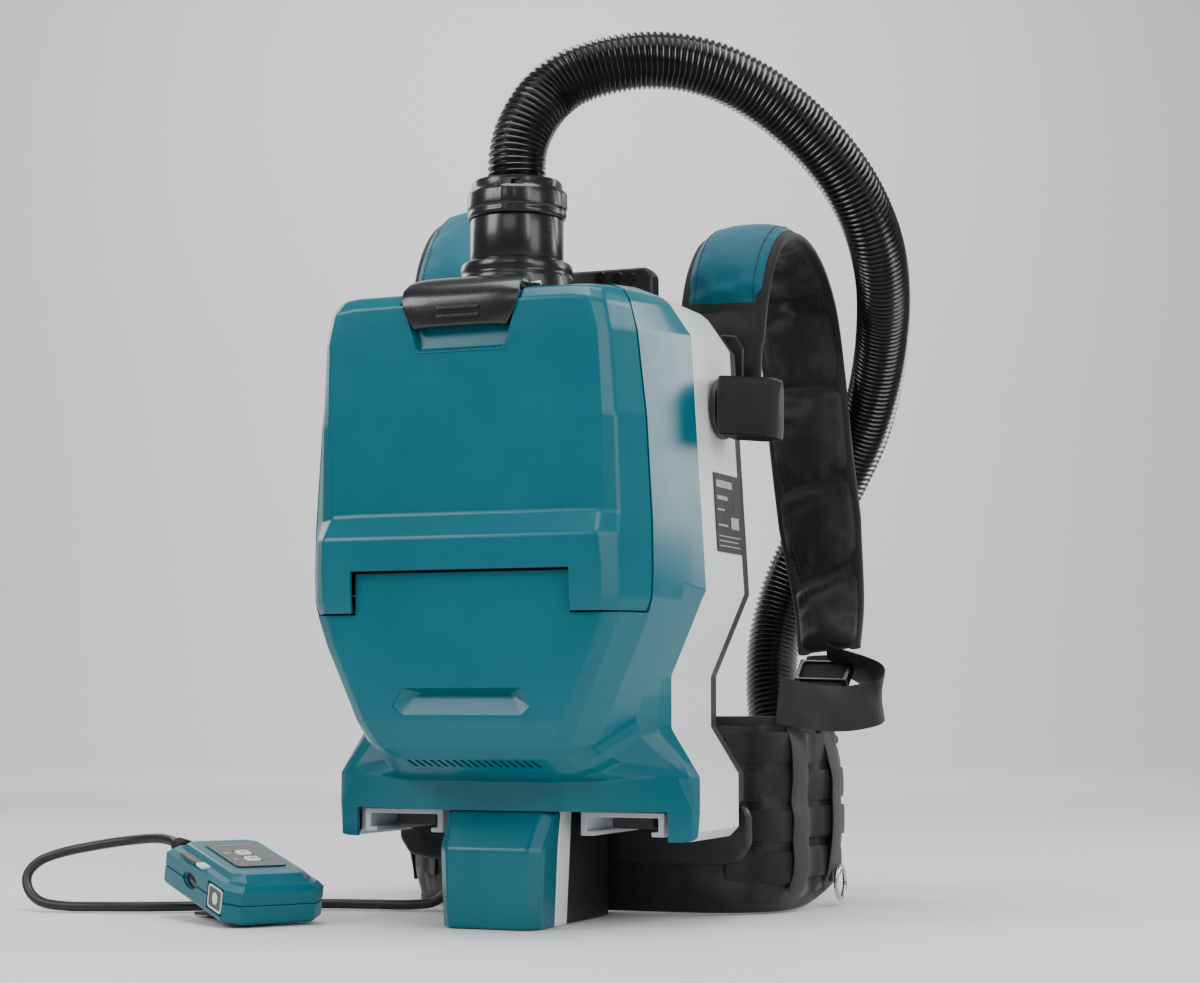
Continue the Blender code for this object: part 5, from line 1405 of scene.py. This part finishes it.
# hose holder band
loop = []
X0, X1, YA, YB, RR = 0.1562, 0.1975, 0.0262, 0.0738, 0.0170
for cx, cy, a0 in ((X1 - RR, YB - RR, 0), (X0 + 0.004, YB - 0.004, 90), (X0 + 0.004, YA + 0.004, 180), (X1 - RR, YA + RR, 270)):
    r = RR if cx > 0.18 else 0.004
    for k in range(7):
        a = math.radians(a0 + 15 * k)
        loop.append(Vector((cx + r * math.cos(a), cy + r * math.sin(a), 0.3950 - 0.10 * (cx - X0))))
loop.append(loop[0].copy())
i0 = 0
hb = tape("holder_band", [loop[-1].lerp(loop[0], 0)] + loop[1:], (0, 0, 1), 0.0450, 0.0026, "web", step=0.0025, wav=0.0006, seed=21.0)
body(hb, "hose_holder_band")
flap = tape("holder_flap", [Vector((0.1600, 0.0244, 0.3945)), Vector((0.1700, 0.0236, 0.3935)), Vector((0.1850, 0.0232, 0.3925)), Vector((0.1990, 0.0236, 0.3910)), Vector((0.2040, 0.0270, 0.3890)), Vector((0.2050, 0.0340, 0.3880))],
            (0, 0, 1), 0.0420, 0.0022, "tape", step=0.0025, wav=0.0012, seed=25.0)
body(flap, "hose_holder_band", replaces=False)

# tab and ring at the belt's end
dress("d_ring_tab", 0.0008, 3, "web")

# -------------------------------------------------------------------- remote


def routline(w0, w1, l0, l1, cn, cf):
    return [(w0 + cn, l0), (w1 - cn, l0), (w1, l0 + cn), (w1, l1 - cf), (w1 - cf, l1), (w0 + cf, l1), (w0, l1 - cf), (w0, l0 + cn)]


def rloft(name, levels, mat):
    """Stack of outlines in the remote's own axes."""
    v, f = [], []
    n = 8
    for loop_, h in levels:
        v += [rp(a, b, h) for a, b in loop_]
    for k in range(len(levels) - 1):
        for i in range(n):
            j = (i + 1) % n
            f.append((k * n + i, k * n + j, (k + 1) * n + j, (k + 1) * n + i))
    f += [tuple(range(n - 1, -1, -1)), tuple((len(levels) - 1) * n + i for i in range(n))]
    return new(name, v, f, mat, smooth=False)


def rl(d, cn=0.0115, cf=0.008):
    return routline(d, R_WID - d, d, R_LEN - d, cn, cf)


top = rloft("remote_top", [(rl(0.0004), 0.0163), (rl(0.0), 0.0170), (rl(0.0), 0.0262), (rl(0.0042, 0.0105, 0.008), 0.0300), (rl(0.0085, 0.0095, 0.0075), 0.0312),
                           (routline(0.0118, R_WID - 0.0118, 0.0150, R_LEN - 0.0130, 0.0075, 0.006), 0.0352), (routline(0.0132, R_WID - 0.0132, 0.0168, R_LEN - 0.0148, 0.0070, 0.006), 0.0359)], "teal")
bot = rloft("remote_bottom", [(rl(0.0032), 0.0007), (rl(0.0012), 0.0018), (rl(0.0), 0.0040), (rl(0.0), 0.0150), (rl(0.0004), 0.0157)], "teal")


def rbox(name, w0, w1, l0, l1, h0, h1, mat, c=0.0008):
    o_ = routline(w0, w1, l0, l1, c, c)
    return rloft(name, [(o_, h0), (o_, h1)], mat)


carve(top, rbox("c1", -0.003, 0.0040, 0.0110, 0.0390, 0.0055, 0.0265, "teal"))
carve(bot, rbox("c2", -0.003, 0.0040, 0.0110, 0.0390, 0.0055, 0.0265, "teal"))
for k, (l0, l1) in enumerate(((0.050, 0.062), (0.068, 0.080))):
    carve(top, rbox("c3%d" % k, 0.0366, 0.0494, l0 - 0.0004, l1 + 0.0004, 0.0315, 0.0400, "teal"))
# oval finger recess on the side
oc = Vector(rp(-0.0008, 0.0730, 0.0165))
ov = []
for ring_, (rr, dd) in enumerate(((1.0, -0.004), (1.0, 0.0024), (0.72, 0.0040))):
    for k in range(28):
        a = 2 * math.pi * k / 28
        ov.append(tuple(oc + RL * (0.0135 * rr * math.cos(a)) + RN * (0.0060 * rr * math.sin(a)) + RW * dd))
of = []
for r_ in range(2):
    for k in range(28):
        l = (k + 1) % 28
        of.append((r_ * 28 + k, r_ * 28 + l, (r_ + 1) * 28 + l, (r_ + 1) * 28 + k))
of += [tuple(reversed(range(28))), tuple(56 + k for k in range(28))]
for tgt in (top, bot):
    carve(tgt, new("c4", ov, of, "teal", smooth=False))
soft_edges(top, 0.0011, 3, 20)
soft_edges(bot, 0.0010, 3, 25)
body(top, "remote_case_top")
body(bot, "remote_case_bottom")
grip = []
gf = []
for ring_, (rr, dd) in enumerate(((0.92, 0.0052), (0.80, 0.0042), (0.0, 0.0040))):
    for k in range(28):
        a = 2 * math.pi * k / 28
        grip.append(tuple(oc + RL * (0.0135 * rr * math.cos(a)) + RN * (0.0060 * rr * math.sin(a)) + RW * (dd - 0.0013)))
for r_ in range(2):
    for k in range(28):
        l = (k + 1) % 28
        gf.append((r_ * 28 + k, r_ * 28 + l, (r_ + 1) * 28 + l, (r_ + 1) * 28 + k))
gr = new("remote_side_insert", grip, gf, "gloss")
md = gr.modifiers.new("wall", "SOLIDIFY")
md.thickness = 0.0008
bake(gr)
body(gr, "remote_case_top", replaces=False)
pb = rbox("power_key", 0.0006, 0.0030, 0.0122, 0.0378, 0.0067, 0.0253, "gloss", 0.0008)
soft_edges(pb, 0.0007, 3)
body(pb, "remote_power_button")


def side_ring(name, r0, r1, w0, w1, cl, ch, mat, square=False):
    v_, f_ = [], []
    n_ = 40
    for w_ in (w0, w1):
        for rad in (r0, r1):
            for k in range(n_):
                a = 2 * math.pi * k / n_
                e = 0.24 if square else 1.0
                ca, sa = math.cos(a), math.sin(a)
                v_.append(rp(w_, cl + rad[0] * math.copysign(abs(ca) ** e, ca), ch + rad[1] * math.copysign(abs(sa) ** e, sa)))
    for k in range(n_):
        l = (k + 1) % n_
        f_ += [(k, l, n_ + l, n_ + k), (2 * n_ + k, 3 * n_ + k, 3 * n_ + l, 2 * n_ + l), (k, 2 * n_ + k, 2 * n_ + l, l), (n_ + k, n_ + l, 3 * n_ + l, 3 * n_ + k)]
    return new(name, v_, f_, mat, angle=40)


fr_w = side_ring("power_frame", (0.0126, 0.0091), (0.0112, 0.0077), 0.0003, 0.0009, 0.0250, 0.0160, "key", True)
body(fr_w, "remote_power_button", replaces=False)
dsc = side_ring("power_disc", (0.0046, 0.0046), (0.0006, 0.0006), 0.0003, 0.0009, 0.0250, 0.0160, "key")
body(dsc, "remote_power_button", replaces=False)
for node, (l0, l1) in {"remote_start_button": (0.050, 0.062), "remote_mode_button": (0.068, 0.080)}.items():
    k = rbox(node + "_cap", 0.0372, 0.0488, l0 + 0.0002, l1 - 0.0002, R_T - 0.0028, R_T + 0.0016, "key", 0.0012)
    soft_edges(k, 0.0008, 3)
    body(k, node)
    ic = rbox(node + "_mark", 0.0405, 0.0455, (l0 + l1) / 2 - 0.0007, (l0 + l1) / 2 + 0.0007, R_T + 0.0016, R_T + 0.00185, "gloss", 0.0004)
    body(ic, node, replaces=False)
pn = rbox("remote_panel", 0.0220, 0.0640, 0.0360, 0.1020, R_T + 0.0002, R_T + 0.0009, "gloss", 0.0030)
carve(pn, rbox("c5", 0.0364, 0.0496, 0.0494, 0.0626, R_T - 0.004, R_T + 0.004, "gloss"), rbox("c6", 0.0364, 0.0496, 0.0674, 0.0806, R_T - 0.004, R_T + 0.004, "gloss"))
soft_edges(pn, 0.0003, 2)
body(pn, "remote_display_panel")
for k, (w0, w1, l0, l1) in enumerate(((0.0270, 0.0310, 0.0540, 0.0580), (0.0270, 0.0310, 0.0720, 0.0760), (0.0540, 0.0590, 0.0520, 0.0530), (0.0540, 0.0590, 0.0560, 0.0570), (0.0540, 0.0590, 0.0600, 0.0610),
                                      (0.0280, 0.0580, 0.0940, 0.0955))):
    q = rbox("panel_mark_%d" % k, w0, w1, l0, l1, R_T + 0.0009, R_T + 0.0011, "labelgrey", 0.0004)
    body(q, "remote_display_panel", replaces=False)
# small label on the near bevel of the left side
lb = rbox("remote_side_label", 0.0013, 0.0090, 0.0700, 0.1000, 0.0296, 0.0318, "gloss", 0.0010)
soft_edges(lb, 0.0004, 2)
body(lb, "remote_case_top", replaces=False)
lb2 = rbox("remote_side_label_light", 0.0016, 0.0092, 0.0560, 0.0690, 0.0298, 0.0319, "key", 0.0010)
soft_edges(lb2, 0.0004, 2)
body(lb2, "remote_case_top", replaces=False)
dress("remote_belt_clip", 0.0006, 2)
# ribbed bend relief
rb = []
for k in range(40):
    t_ = k / 39
    r_ = 0.0078 + (0.0056 - 0.0078) * t_
    if k % 5 in (1, 2):
        r_ += 0.0007
    rb.append((r_, t_))
pts = [Vector(rp(0.020, R_LEN + 0.0002 + 0.0168 * t_, 0.0245)) for _, t_ in rb]
sr = round_tube("remote_bend_relief", pts, lambda u: rb[min(39, int(round(u * 39)))][0], "rubber", 24)
body(sr, "remote_strain_relief")

# --------------------------------------------------- small things on the body
for k, (x, z) in enumerate(((0.0350, 0.5105), (0.0505, 0.5090), (0.0617, 0.5078))):
    bs = lathe("handle_boss_%d" % (k + 1), [(0.0001, -0.0016), (0.0030, -0.0016), (0.0030, -0.0010), (0.0048, -0.0010), (0.0052, -0.0004), (0.0052, 0.0010), (0.0001, 0.0010)], (x, 0.0878, z), "gloss", 32, axis="Y")
    body(bs, "carry_handle", replaces=False)


def side_x(z):
    return 0.148 + (0.384 - z) * 0.0608


def label_bar(name, y0, y1, z0, z1, mat="labelgrey", lift=0.0012):
    v_ = [(side_x(z) + lift + dx, y, z) for dx in (0.0, 0.0003) for y, z in ((y0, z0), (y1, z0), (y1, z1), (y0, z1))]
    ob = new(name, v_, [(0, 1, 2, 3), (7, 6, 5, 4), (0, 4, 5, 1), (1, 5, 6, 2), (2, 6, 7, 3), (3, 7, 4, 0)], mat, smooth=False)
    body(ob, "rating_label", replaces=False)


for k, (y0, y1, z0, z1) in enumerate(((0.034, 0.070, 0.3330, 0.3385), (0.034, 0.058, 0.3235, 0.3265), (0.034, 0.050, 0.3150, 0.3165), (0.064, 0.082, 0.3020, 0.3110), (0.034, 0.056, 0.3030, 0.3045),
                                      (0.034, 0.084, 0.2950, 0.2958), (0.034, 0.078, 0.2912, 0.2920), (0.034, 0.082, 0.2874, 0.2882))):
    label_bar("label_bar_%d" % (k + 1), y0, y1, z0, z1)

# finger scoop set in the shield


def shield_y(z):
    return -0.0985 - (z - 0.154) * 0.0382


hexa = [(-0.0482, 0.1790), (0.0482, 0.1790), (0.0560, 0.1656), (0.0475, 0.1586), (-0.0475, 0.1586), (-0.0560, 0.1656)]
cut_s = prism("scoop_cut", hexa, lambda a, b, t: (a, t, b), -0.1100, -0.0900, "teal")
housing.modifiers.clear()
carve(housing, cut_s)
housing.data.shade_smooth()
housing.data.set_sharp_from_angle(angle=math.radians(26))
m = housing.modifiers.new("shade", "WEIGHTED_NORMAL")
m.weight = 70
m.keep_sharp = True
sv = [(x, shield_y(z) + 0.0002, z) for x, z in hexa] + [(-0.0353, -0.0905, 0.1751), (0.0353, -0.0905, 0.1751)]
sf = [(4, 3, 7, 6), (3, 2, 7), (2, 1, 7), (1, 0, 6, 7), (0, 5, 6), (5, 4, 6)]
scp = new("shield_scoop", sv, sf, "teal", smooth=False)
fc = max(scp.data.polygons, key=lambda g: g.area)
if fc.normal.y > 0:
    scp.data.flip_normals()
md = scp.modifiers.new("wall", "SOLIDIFY")
md.thickness = 0.0016
md.offset = -1.0
bake(scp)
soft_edges(scp, 0.0005, 2)
body(scp, "front_housing", replaces=False)

bpy.context.view_layer.update()
json.dump({"cad": [list(map(float, q)) for q in CAD_BOX], "visual": [list(map(float, q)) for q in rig.bounds()]}, open("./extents.json", "w"))
